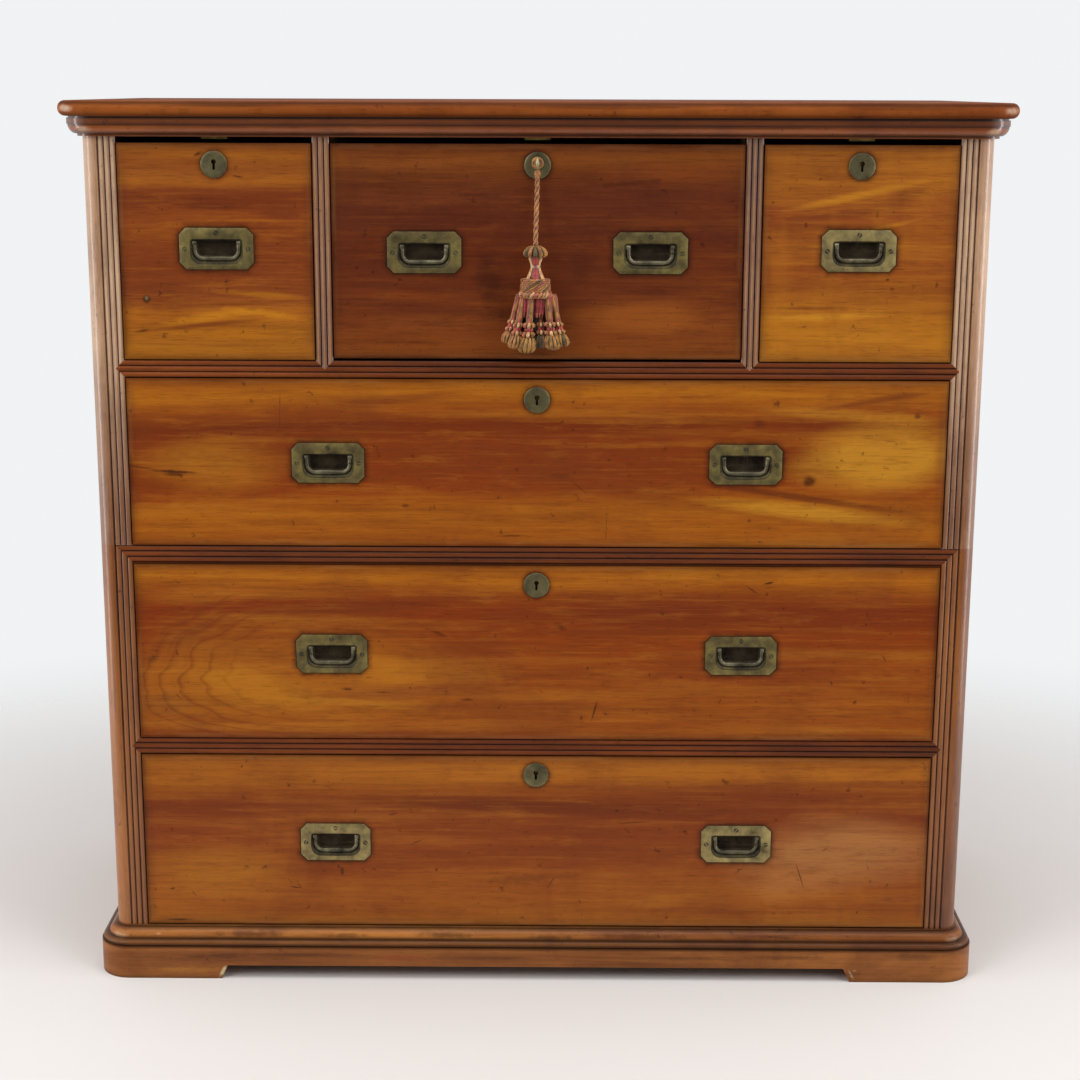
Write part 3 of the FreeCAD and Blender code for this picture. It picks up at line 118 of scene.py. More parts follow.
# the brassware's sizes in millimetres; the dirt and painted shade on the fronts follow them too
plate = {"half": 44.5, "rise": 25.0, "cant": 9.0, "proud": 0.15, "back": 2.4, "arris": 0.6, "arrisDrop": 0.35,
         "corner": 42.7,  # from the middle square out to a canted corner
         "screws": ((0, 18.5), (-37.5, -0.5), (37.5, -0.5)), "pocket": 6.6,
         # the recess and its finger pocket: half length, top, foot, round of top and foot corners, depth below the face
         "recess": ((31.4, 11.6, 18.6, 4.0, 13.0, 0.0), (30.2, 10.6, 17.2, 4.0, 12.5, 0.45),
                    (29.2, 10.0, 15.8, 3.6, 12.0, 2.15), (27.2, 9.6, 13.0, 3.2, 10.5, 5.15),
                    (24.4, 9.2, 10.2, 2.6, 7.0, 6.95), (22.6, 9.0, 8.6, 2.0, 4.0, 7.55),
                    (22.3, 8.9, 8.4, 2.0, 4.0, 12.75))}
disc = {"hole": 2.9, "slot": 1.45, "foot": 9.3, "rise": 3.0, "sides": 72,
        # radius, then depth below the face, from its back over its rounded rim to its dome
        "rings": ((15.75, 1.4), (15.75, 0.1), (15.25, -0.35), (13.35, -0.6), (12.2, -0.65))}

# Waxed camphorwood: long soft bands of gold and red-brown, fine streaks, short dark pores, small bruises
camphor = {
    "gold": "b06c1c", "honey": "934a14", "brown": "6a2e10", "stain": "2c1006", "grimeAndShade": "1c0d06", "valleys": "1e0c05",
    "worn": "c8945c",
    "along": (1, 0, 0), "across": (0, 0.35, 1), "seed": 0.0,
    "bands": None,  # colours from the foot of a board (0) to its head (1)
    "box": None,  # the board's lowest and highest corner, in metres
    "streak": 0.55, "fine": 0.36, "mottle": 0.4, "pores": 0.24, "stains": 0.45, "figure": 0.0,
    "sway": 0.014,  # how far the bands wander up and down, in metres
    # sizes and places in the next three are in millimetres
    "patches": (),  # (x, z, half length, half height, tilt in degrees, colour, strength, wobble)
    "ovals": (),  # cathedral grain: (x, z, half length, half height, rings)
    "lines": (),  # dirt and painted shade along a moulding's hollows and at a foot: (height, half width, strength)
    "plates": (), "discs": (),  # places round the brass where dirt has settled and shade is painted, in metres
    "grooves": None,  # reeds: the axis they lie across and where they start, in metres
    "reeds": 3, "pitch": 0.007,
    "crest": None,  # the reeds' crests, rubbed paler and partly a painted highlight: (colour, strength)
    "dirt": 0.88, "rough": 0.38, "coat": 0.03, "coatRough": 0.2, "gloss": 0.12,
}


def makeWood(name, **changes):
    look = {**camphor, **changes}
    material, shader, add = newMaterial(name)
    point = add("TexCoord").outputs["Object"]
    axes = add("SeparateXYZ", point).outputs
    along, across = (add("VectorMath DOT_PRODUCT", point, look[way]) for way in ("along", "across"))

    def grain(perMetreAlong, perMetreAcross, detail, shift, roughness=0.55):
        # clouds drawn out along the board, as many to the metre each way
        place = add("CombineXYZ", add("Math MULTIPLY", along, perMetreAlong),
                    add("Math MULTIPLY", across, perMetreAcross), look["seed"] + shift)
        return add("TexNoise", place, Scale=1.0, Detail=detail, Roughness=roughness)

    def centred(value, reach):
        return add("Math MULTIPLY", add("Math SUBTRACT", value, 0.5), 2 * reach)

    def blend(shade, amount, value, *stops):
        # lays a shade over the colour where a value, or its ramp, is high
        nonlocal colour
        mask = add("ValToRGB", value, stops=stops) if stops else value
        colour = add("Mix", add("Math MULTIPLY", mask, amount, use_clamp=True), colour, toLinear(shade),
                     data_type="RGBA")

    def spot(x, z, halfLength, halfHeight, tilt=0.0, wobble=0.0):
        # how far a point lies from a place, as a share of the way to an oval's edge
        turn = math.radians(tilt)
        offset = add("VectorMath SUBTRACT", point, (x, 0, z))
        longways = (math.cos(turn) / halfLength, 0, math.sin(turn) / halfLength)
        upright = (-math.sin(turn) / halfHeight, 0, math.cos(turn) / halfHeight)
        reach = add("VectorMath LENGTH", add("CombineXYZ", *(add("VectorMath DOT_PRODUCT", offset, way)
                                                             for way in (longways, upright))))
        return add("Math ADD", reach, centred(wander if halfLength > 0.06 else crumbs, wobble)) if wobble else reach

    wander, streak, broad = grain(2.6, 9, 3, 1.3), grain(2.2, 42, 4, 7.7), grain(1.3, 12, 3, 3.9)
    fine, pores = grain(7, 230, 4, 11.2, 0.65), grain(48, 760, 2, 17.0)  # pores 20 mm long and 1.3 mm high
    mottle = grain(13, 62, 5, 29.0, 0.68)  # short clouds, a hand long and a finger high
    blotches = add("TexNoise", point, Scale=5.5, Detail=6.0, Roughness=0.62, Distortion=0.8)
    crumbs = add("TexNoise", point, Scale=75.0, Detail=3.0, Roughness=0.7)
    if look["bands"]:
        low, high = look["box"]
        level = add("Math ADD", axes["Z"], centred(wander, look["sway"]))
        height = add("Math ADD", add("MapRange", level, low[2], high[2], 0.0, 1.0), centred(broad, 0.09))
        colour = add("ValToRGB", height, stops=look["bands"])
    else:
        colour = add("ValToRGB", broad, stops=((0.3, look["brown"]), (0.5, look["honey"]), (0.7, look["gold"])))
    blend(look["brown"], look["streak"], streak, (0.5, 0.0), (0.72, 1.0))
    blend(look["gold"], look["streak"] * 0.7, streak, (0.3, 1.0), (0.48, 0.0))
    if look["grooves"]:
        (axis, start), pitch, count = look["grooves"], look["pitch"], look["reeds"]
        place = add("Math SUBTRACT", add("Math ABSOLUTE", axes[axis]), start)
        middle = add("Math SUBTRACT", place, pitch * count / 2)
        inside = add("Math LESS_THAN", add("Math ABSOLUTE", middle), pitch * (count / 2 + 0.25))
        share = add("Math FRACT", add("Math ADD", add("Math DIVIDE", place, pitch), 0.5))
        # each reed's crest is paler: rubbed, and partly a painted highlight
        rubbed = add("ValToRGB", share, stops=((0.0, 1.0), (0.1, 0.75), (0.24, 0.0), (0.76, 0.0), (0.9, 0.75),
                                               (1.0, 1.0)))
        uneven = add("ValToRGB", blotches, stops=((0.35, 1.0), (0.65, 0.45)))
        blend(*look["crest"], add("Math MULTIPLY", add("Math MULTIPLY", rubbed, inside), uneven))
    for *oval, tilt, shade, strength, wobble in look["patches"]:
        blend(shade, strength, spot(*(size / 1000 for size in oval), tilt, wobble), (0.35, 1.0), (1.0, 0.0))
    for *oval, count in look["ovals"]:  # cathedral grain, plainest at its left
        x, z, halfLength, halfHeight = (size / 1000 for size in oval)
        reach = add("Math ADD", spot(x, z, halfLength, halfHeight, 0.0, 0.35), centred(broad, 0.12))
        leftward = add("MapRange", axes["X"], x + halfLength * 0.2, x - halfLength * 0.6, 0.25, 1.0)
        where = add("Math MULTIPLY", add("ValToRGB", reach, stops=((0.3, 0.0), (0.6, 1.0), (0.9, 0.8), (1.0, 0.0))),
                    leftward)
        rings = add("Math FRACT", add("Math MULTIPLY", reach, count))
        for shade, strength, stops in ((look["brown"], 0.6, ((0.0, 0.1), (0.7, 0.0), (0.9, 1.0), (1.0, 0.1))),
                                       (look["gold"], 0.12, ((0.2, 0.0), (0.45, 1.0), (0.7, 0.0)))):
            blend(shade, strength, add("Math MULTIPLY", where, add("ValToRGB", rings, stops=stops)))
    for pattern, strength, full in ((mottle, look["mottle"], 0.7), (fine, look["fine"], 0.72)):
        blend(look["brown"], strength, pattern, (0.52, 0.0), (full, 1.0))
        blend(look["gold"], strength * 0.6, pattern, (0.3, 1.0), (0.46, 0.0))
    if look["figure"]:  # curl: soft bars of light across the grain
        blend(look["gold"], look["figure"], grain(30, 7, 3, 23.0), (0.5, 0.0), (0.68, 1.0))
    blend(look["brown"], look["stains"], blotches, (0.52, 0.0), (0.7, 1.0))
    poreMask = add("ValToRGB", pores, stops=((0.57, 0.0), (0.68, 1.0)))
    blend(look["stain"], look["pores"], poreMask)
    specks = add("Math ADD", crumbs, add("Math MULTIPLY", streak, 0.12))
    blend(look["stain"], 0.55, specks, (0.71, 0.0), (0.78, 1.0))
    for x, z in look["plates"]:  # dirt and painted shade packed round a canted plate, thinning out over 6 mm
        offset = add("VectorMath ABSOLUTE", add("VectorMath SUBTRACT", point, (x, 0, z)))
        beyond = add("SeparateXYZ", add("VectorMath SUBTRACT", offset, (plate["half"] / 1000, 0, plate["rise"] / 1000)))
        corner = add("Math SUBTRACT", add("VectorMath DOT_PRODUCT", offset, (0.7071, 0, 0.7071)),
                     plate["corner"] / 1000)
        gap = add("Math MAXIMUM", add("Math MAXIMUM", beyond.outputs["X"], beyond.outputs["Z"]), corner)
        blend(look["stain"], 0.8, add("Math ADD", gap, centred(crumbs, 0.003)), (0.0, 1.0), (0.0012, 0.7), (0.006, 0.0))
    for x, z in look["discs"]:  # and round a keyhole plate
        gap = add("Math ADD", spot(x, z, 1.0, 1.0), centred(crumbs, 0.003))
        blend(look["stain"], 0.8, gap, (0.0158, 1.0), (0.017, 0.6), (0.021, 0.0))
    # dark lines of dirt and painted shade along the hollows
    for level, half, strength in look["lines"]:
        level, half = level / 1000, half / 1000
        gap = add("Math ABSOLUTE", add("Math SUBTRACT", axes["Z"], level))
        blend(look["grimeAndShade"], strength, add("Math ADD", gap, centred(streak, half * 0.5)),
              (half * 0.3, 1.0), (half, 0.45), (half * 1.8, 0.0))
    if look["grooves"]:  # dirt that settles in the valleys between reeds, and painted shade there
        dirt = add("ValToRGB", share, stops=((0.3, 0.0), (0.42, 0.55), (0.5, 1.0), (0.58, 0.55), (0.7, 0.0)))
        blend(look["valleys"], look["dirt"], add("Math MULTIPLY", dirt, inside))
    if look["box"]:  # wear and painted light along a front's edges: a thin dark line and soft grime, partly painted shade, and a rubbed arris, partly a painted highlight
        reach = insideEdges(add, axes, *look["box"])
        edge = add("Math ADD", reach, centred(blotches, 0.006))
        blend(look["stain"], 0.45, edge, (0.0, 1.0), (0.003, 0.35), (0.009, 0.0))
        blend(look["stain"], 0.26, add("Math ADD", reach, centred(mottle, 0.014)), (0.0, 1.0), (0.006, 0.5),
              (0.013, 0.0))
        rubbed = add("ValToRGB", edge, stops=((0.0008, 0.0), (0.0016, 1.0), (0.0026, 1.0), (0.0042, 0.0)))
        uneven = add("ValToRGB", blotches, stops=((0.42, 0.15), (0.6, 1.0)))
        blend(look["worn"], 0.5, add("Math MULTIPLY", rubbed, uneven))
    relief = add("Bump", Strength=0.2, Distance=0.0005,
                 Height=add("Math SUBTRACT", add("Math MULTIPLY", fine, 0.5), poreMask))
    setShader(shader, {
        "Base Color": colour, "Normal": relief,
        "Roughness": add("MapRange", blotches, 0.3, 0.75, look["rough"] - 0.05, look["rough"] + 0.12),
        "Specular IOR Level": look["gloss"], "Coat Weight": look["coat"], "Coat Roughness": look["coatRough"],
        "Coat IOR": 1.6})
    return material


# Cast brass, dulled by a hundred years of hands: olive-brown, yellower where it is rubbed
brassLook = {"rubbed": "8e7e46", "tarnish": "655834", "dark": "42381e", "rough": 0.44, "metal": 0.5, "gloss": 0.4}


def makeBrass(name, **changes):
    look = {**brassLook, **changes}
    material, shader, add = newMaterial(name)
    point = add("TexCoord").outputs["Object"]
    cloud = add("TexNoise", point, Scale=55.0, Detail=6.0, Roughness=0.65)  # stains about 18 mm across
    pits = add("TexNoise", point, Scale=900.0, Detail=3.0, Roughness=0.6)  # casting pits of 1 mm
    setShader(shader, {
        "Base Color": add("ValToRGB", cloud, stops=((0.3, look["dark"]), (0.48, look["tarnish"]),
                                                    (0.7, look["rubbed"]))),
        "Normal": add("Bump", Strength=0.15, Distance=0.0003, Height=pits),
        "Roughness": add("MapRange", cloud, 0.3, 0.7, look["rough"] + 0.12, look["rough"] - 0.08),
        "Metallic": look["metal"], "Specular IOR Level": look["gloss"]})
    return material


# Skiver leather, dyed oxblood and glazed: fine pebbled grain, a soft sheen, a gilt line tooled round it
leatherLook = {"stops": ((0.35, "341208"), (0.55, "54200e"), (0.75, "76381a")), "gilt": "b08c48",
               "line": ((0.0112, 0.0), (0.0115, 1.0), (0.0127, 1.0), (0.013, 0.0))}  # metres in from the edge


def makeLeather(name):
    material, shader, add = newMaterial(name)
    point = add("TexCoord").outputs["Object"]
    pebbles = add("TexVoronoi", point, feature="SMOOTH_F1", Scale=900.0)  # 1.1 mm across
    wear = add("TexNoise", point, Scale=9.0, Detail=5.0)
    reach = insideEdges(add, add("SeparateXYZ", point).outputs, *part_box("writing_leather"))
    gilt = add("Math MULTIPLY", add("ValToRGB", reach, stops=leatherLook["line"]),
               add("ValToRGB", wear, stops=((0.4, 0.25), (0.6, 0.8))))
    dyed = add("ValToRGB", wear, stops=leatherLook["stops"])
    setShader(shader, {
        "Base Color": add("Mix", gilt, dyed, toLinear(leatherLook["gilt"]), data_type="RGBA"),
        "Normal": add("Bump", Strength=0.3, Distance=0.0004, Height=pebbles),
        "Roughness": 0.48, "Specular IOR Level": 0.25})
    return material


# Twisted silk: fine soft fibres, a faint sheen where they turn away, darker where they are packed
def makeThread(name, light, shade):
    material, shader, add = newMaterial(name)
    point = add("TexCoord").outputs["Object"]
    # fibres 4 mm long and 0.6 mm across, coarser than silk's, so that they show
    fibres = add("TexNoise", add("Mapping", point, Scale=(1700, 1700, 260)), Scale=1.0, Detail=3.0)
    clumps = add("TexNoise", point, Scale=150.0, Detail=3.0)
    mixed = add("Math ADD", add("Math MULTIPLY", fibres, 0.45), add("Math MULTIPLY", clumps, 0.55))
    setShader(shader, {
        "Base Color": add("ValToRGB", mixed, stops=((0.38, shade), (0.56, light))),
        "Normal": add("Bump", Strength=0.4, Distance=0.0003, Height=fibres),
        "Roughness": 0.6, "Sheen Weight": 0.08})
    return material


uprightGrain = {"along": (0, 0, 1), "across": (1, 0.35, 0)}
sideGrain = {"along": (0, 0, 1), "across": (0.35, 1, 0)}
flatGrain = {"along": (1, 0, 0), "across": (0, 1, 0.35)}
lockDown = 0.0245  # a keyhole lies this far below the front's head
pivot = 0.0065  # a bail's pins lie this far above the middle of its plate
bailHead = 0.002  # and its ears reach this far above its pins
handleRow = {
    "bottom_drawer": (-0.253, 0.253), "middle_drawer": (-0.253, 0.253), "long_drawer": (-0.253, 0.253),
    "left_drawer": (-0.380,), "right_drawer": (0.380,), "fall": (-0.134, 0.134),
}


def bailsOf(name):
    return [node for node in sorted(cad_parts) if node.startswith(name) and node.endswith("bail")]


def frontOf(name):
    # the box of a drawer's front and the places of its handle plates and keyhole plate
    low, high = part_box(name + "_front")
    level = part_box(bailsOf(name)[0])[1][2] - pivot - bailHead
    return {"box": (low, high), "plates": [(x, level) for x in handleRow[name]],
            "discs": [((low[0] + high[0]) / 2, high[2] - lockDown)]}


bruise, black = "3c1808", "1a0a05"
# each front's own bands, figure, bruises and knots
frontLooks = {
    "bottom_drawer": dict(
        seed=3.1, gold="ac6820", honey="8f4a18", brown="6c3012",
        bands=((0.0, "985818"), (0.13, "935016"), (0.3, "874314"), (0.5, "803c14"), (0.72, "723212"),
               (0.8, "824012"), (0.88, "a05c18"), (1.0, "965418")),
        patches=(
            (-400, 135, 130, 45, 0, "a4641c", 0.7, 0.35), (20, 225, 340, 14, -2, "5c280f", 0.5, 0.4),
            (380, 170, 160, 60, 0, "b47e48", 0.5, 0.9), (160, 100, 60, 12, 5, "a4641c", 0.5, 0.3),
            (-304, 115.5, 10, 1.3, -8, black, 0.85, 0.2), (-312, 124, 6, 0.8, -50, black, 0.6, 0.2),
            (-435, 107, 7, 1, -55, bruise, 0.7, 0.3), (-462, 113, 4, 2, 20, bruise, 0.7, 0.3),
            (-150, 178, 10, 1.2, 25, bruise, 0.7, 0.3), (-180, 215, 8, 1.4, 10, bruise, 0.6, 0.3),
            (335, 135, 24, 1.1, -72, bruise, 0.75, 0.2), (20, 125, 12, 1.4, 60, bruise, 0.6, 0.3),
            (120, 205, 30, 1, 5, bruise, 0.6, 0.3), (2, 275, 3, 1.2, 0, black, 0.8, 0.2),
            (-20, 128, 50, 8, 4, bruise, 0.35, 0.9), (-455, 71, 20, 2, 0, black, 0.8, 0.5))),
    "middle_drawer": dict(
        seed=8.4, gold="b47222", honey="934c16", brown="6c3010",
        bands=((0.0, "863e10"), (0.15, "924c12"), (0.35, "8e4612"), (0.55, "853b0e"), (0.75, "7a300d"),
               (0.84, "8c4612"), (0.92, "a65f14"), (1.0, "9c5514")),
        ovals=((-275, 405, 235, 105, 9.0),),
        patches=(
            (-300, 400, 240, 75, 0, "b4701c", 0.45, 0.6), (-360, 385, 85, 26, -14, "b4741c", 0.45, 0.8),
            (-140, 402, 120, 20, 0, "ae6a1a", 0.6, 0.5), (-280, 425, 50, 30, 20, "8c4616", 0.4, 0.6),
            (-160, 375, 100, 10, 3, "80401a", 0.5, 0.6), (-240, 362, 100, 6, -4, "b0701e", 0.5, 0.5),
            (-400, 500, 100, 14, 4, "a8621a", 0.5, 0.5), (-430, 448, 50, 14, 24, "6c3a18", 0.4, 0.8),
            (-460, 360, 40, 20, 0, "7a4a20", 0.45, 0.6), (220, 475, 340, 30, 0, "6c2c12", 0.6, 0.4),
            (-200, 485, 160, 12, 4, "6c3012", 0.5, 0.4), (260, 400, 240, 45, 0, "743010", 0.45, 0.4),
            (300, 425, 100, 12, 2, "94501c", 0.5, 0.3), (-235, 379, 8, 2.6, 0, bruise, 0.8, 0.3),
            (-190, 375, 12, 1.2, 0, bruise, 0.7, 0.3), (-85, 366, 10, 2, 0, bruise, 0.7, 0.5),
            (72.5, 352, 16, 1.7, 75, black, 0.8, 0.2), (285, 517, 8, 1.8, 10, black, 0.9, 0.4),
            (265, 508, 12, 1.2, -35, bruise, 0.7, 0.3), (-120, 451, 12, 3, -20, bruise, 0.6, 0.5),
            (30, 460, 10, 4, -30, bruise, 0.5, 0.5), (-475, 417, 9, 6, 30, "2c3018", 0.45, 0.4),
            (430, 422, 7, 1, -60, bruise, 0.7, 0.2))),
    "long_drawer": dict(
        seed=12.9, gold="b87420", honey="944c14", brown="6c3210",
        bands=((0.0, "8e4612"), (0.1, "9c5512"), (0.2, "a05912"), (0.32, "863b0e"), (0.5, "7c340d"), (0.66, "7c340e"),
               (0.76, "6e2b0d"), (0.84, "8e4612"), (0.93, "a66014"), (1.0, "985214")),
        patches=(
            (-400, 665, 120, 50, 0, "ae6e1c", 0.6, 0.9), (420, 680, 110, 55, 0, "c68a28", 0.75, 0.8),
            (-20, 665, 260, 50, 0, "7a3412", 0.55, 0.4), (340, 605, 150, 12, -6, "c08424", 0.75, 0.4),
            (330, 623, 160, 5, -8, "5c280e", 0.7, 0.5), (370, 726, 140, 10, -4, "b87a22", 0.6, 0.4),
            (400, 742, 100, 5, 10, "6c3012", 0.6, 0.5), (-440, 653, 34, 2.2, -3, bruise, 0.8, 0.5),
            (-438, 650, 16, 5, 0, bruise, 0.7, 0.5), (-480, 658, 22, 1, -8, bruise, 0.8, 0.3),
            (330.5, 645, 10, 9, 0, bruise, 0.85, 0.5), (268, 715, 10, 6, 0, "5a220c", 0.7, 0.5),
            (-160, 612, 6, 3, 0, bruise, 0.6, 0.4), (458, 725, 5, 4, 0, bruise, 0.7, 0.4),
            (-310, 725, 30, 0.8, 88, bruise, 0.55, 0.9), (85, 588, 30, 0.8, 88, bruise, 0.5, 0.9),
            (50, 637, 18, 1, -40, bruise, 0.6, 0.6), (30, 650, 14, 4, 0, bruise, 0.4, 0.9),
            (-30, 575, 20, 1.5, 0, bruise, 0.6, 0.9), (-170, 742, 100, 8, 6, "7a3a14", 0.6, 0.4))),
    "left_drawer": dict(
        seed=21.7, gold="b46c1c", honey="8a4416", brown="642a10",
        bands=((0.0, "a06018"), (0.1, "a4641a"), (0.2, "9c5818"), (0.28, "84421a"), (0.5, "7a3815"), (0.7, "864216"),
               (0.78, "723214"), (0.86, "92501a"), (1.0, "8e4c18")),
        patches=(
            (-385, 842, 70, 6, 9, "bc7818", 0.65, 0.6), (-330, 846, 60, 6, -7, "c07a1a", 0.65, 0.6),
            (-330, 868, 70, 5, -4, "b06c18", 0.65, 0.7), (-370, 820, 90, 9, 2, "a86414", 0.6, 0.6),
            (-390, 832, 80, 3, 6, "642a10", 0.5, 0.8), (-350, 857, 80, 4, 3, "6c3010", 0.5, 0.8),
            (-370, 945, 90, 3, 1, "5c260e", 0.5, 0.8), (-330, 955, 60, 3, 0, "a05c18", 0.6, 0.8),
            (-380, 971, 50, 5, 0, "5c260e", 0.7, 0.6), (-300, 965, 40, 12, 0, "642a14", 0.5, 0.5),
            (-445, 862, 50, 30, 0, "6a3014", 0.5, 0.5), (-465, 862, 5.5, 6.5, 0, black, 0.85, 0.3),
            (-465, 863, 2.8, 3.6, 0, "7c7258", 0.6, 0.2), (-472, 824, 12, 2.2, 10, bruise, 0.7, 0.5),
            (-398, 1032, 8, 3, 30, bruise, 0.8, 0.5), (-352, 1006, 8, 1.6, -10, bruise, 0.7, 0.4))),
    "right_drawer": dict(
        seed=30.2, gold="c07a20", honey="964f18", brown="6c3212",
        figure=0.12,
        bands=((0.0, "a4641c"), (0.14, "ac6a1a"), (0.3, "9c5a1a"), (0.45, "8c4818"), (0.6, "94501a"), (0.7, "84401a"),
               (0.82, "a05e1c"), (1.0, "9a581c")),
        patches=(
            (370, 985, 100, 7, 12, "bc7a20", 0.7, 0.5), (360, 965, 90, 6, 6, "6c3416", 0.55, 0.5),
            (430, 985, 50, 10, 20, "6c3416", 0.5, 0.5), (340, 844, 90, 6, 2, "c48424", 0.7, 0.5),
            (330, 854, 60, 3, 0, "6c3412", 0.6, 0.6), (380, 820, 90, 12, 0, "b4721c", 0.6, 0.4),
            (400, 947, 70, 4, 14, "b87420", 0.5, 0.5), (415, 888, 3, 2, 0, black, 0.8, 0.2),
            (400, 965, 2, 6, 0, bruise, 0.6, 0.4))),
    "fall": dict(
        seed=37.5, gold="8c4a16", honey="6c3210", brown="481c0b",
        streak=0.35,
        bands=((0.0, "7c4014"), (0.15, "743814"), (0.3, "642c12"), (0.5, "5c2610"), (0.72, "5e2a14"),
               (0.84, "6c3414"), (0.94, "7c4216"), (1.0, "743a16")),
        patches=(
            (130, 842, 120, 24, 0, "94501a", 0.75, 0.5), (-130, 835, 110, 14, 0, "84441a", 0.55, 0.5),
            (-160, 868, 90, 10, -4, "7c3a14", 0.5, 0.6), (-170, 1020, 90, 14, 0, "80421a", 0.6, 0.5),
            (140, 1012, 100, 16, 2, "7a3a16", 0.5, 0.5), (190, 965, 50, 30, 0, "6c3012", 0.4, 0.6),
            (-100, 960, 160, 30, 0, "52200f", 0.5, 0.5), (-55, 885, 22, 45, 6, "34150a", 0.6, 0.6),
            (-30, 845, 50, 10, 0, "34150a", 0.45, 0.6), (55, 905, 22, 25, 0, "3a180c", 0.4, 0.6),
            (149, 991, 6, 1.2, -30, black, 0.7, 0.2), (-70, 985, 30, 4, 0, "3c1a0c", 0.4, 0.8),
            (190, 880, 40, 60, 0, "6c3210", 0.5, 0.5), (110, 1000, 50, 4, 5, "2c1208", 0.4, 0.9))),
}
frontWoods = {name: makeWood("camphorwood_" + name.removesuffix("_drawer"), **frontOf(name), **look)
              for name, look in frontLooks.items()}
moulded = {"gold": "8c5424", "honey": "6f3c18", "brown": "4c2210", "coat": 1.0, "coatRough": 0.24, "streak": 0.4}
moulding = {**moulded, "gold": "a55a23", "honey": "834117", "brown": "5a250f", "coat": 0.6, "coatRough": 0.15}
# the upper columns are paler than the lower ones: partly their own tone, partly a painted reflection
upperColumn = {**moulded, **uprightGrain, "gold": "c09a78", "honey": "a07656", "brown": "5e3a24", "coat": 0.75}
lowerColumn = {**moulded, **uprightGrain, "gold": "9a5e2c", "honey": "78431c", "brown": "48220e", "coat": 0.55}
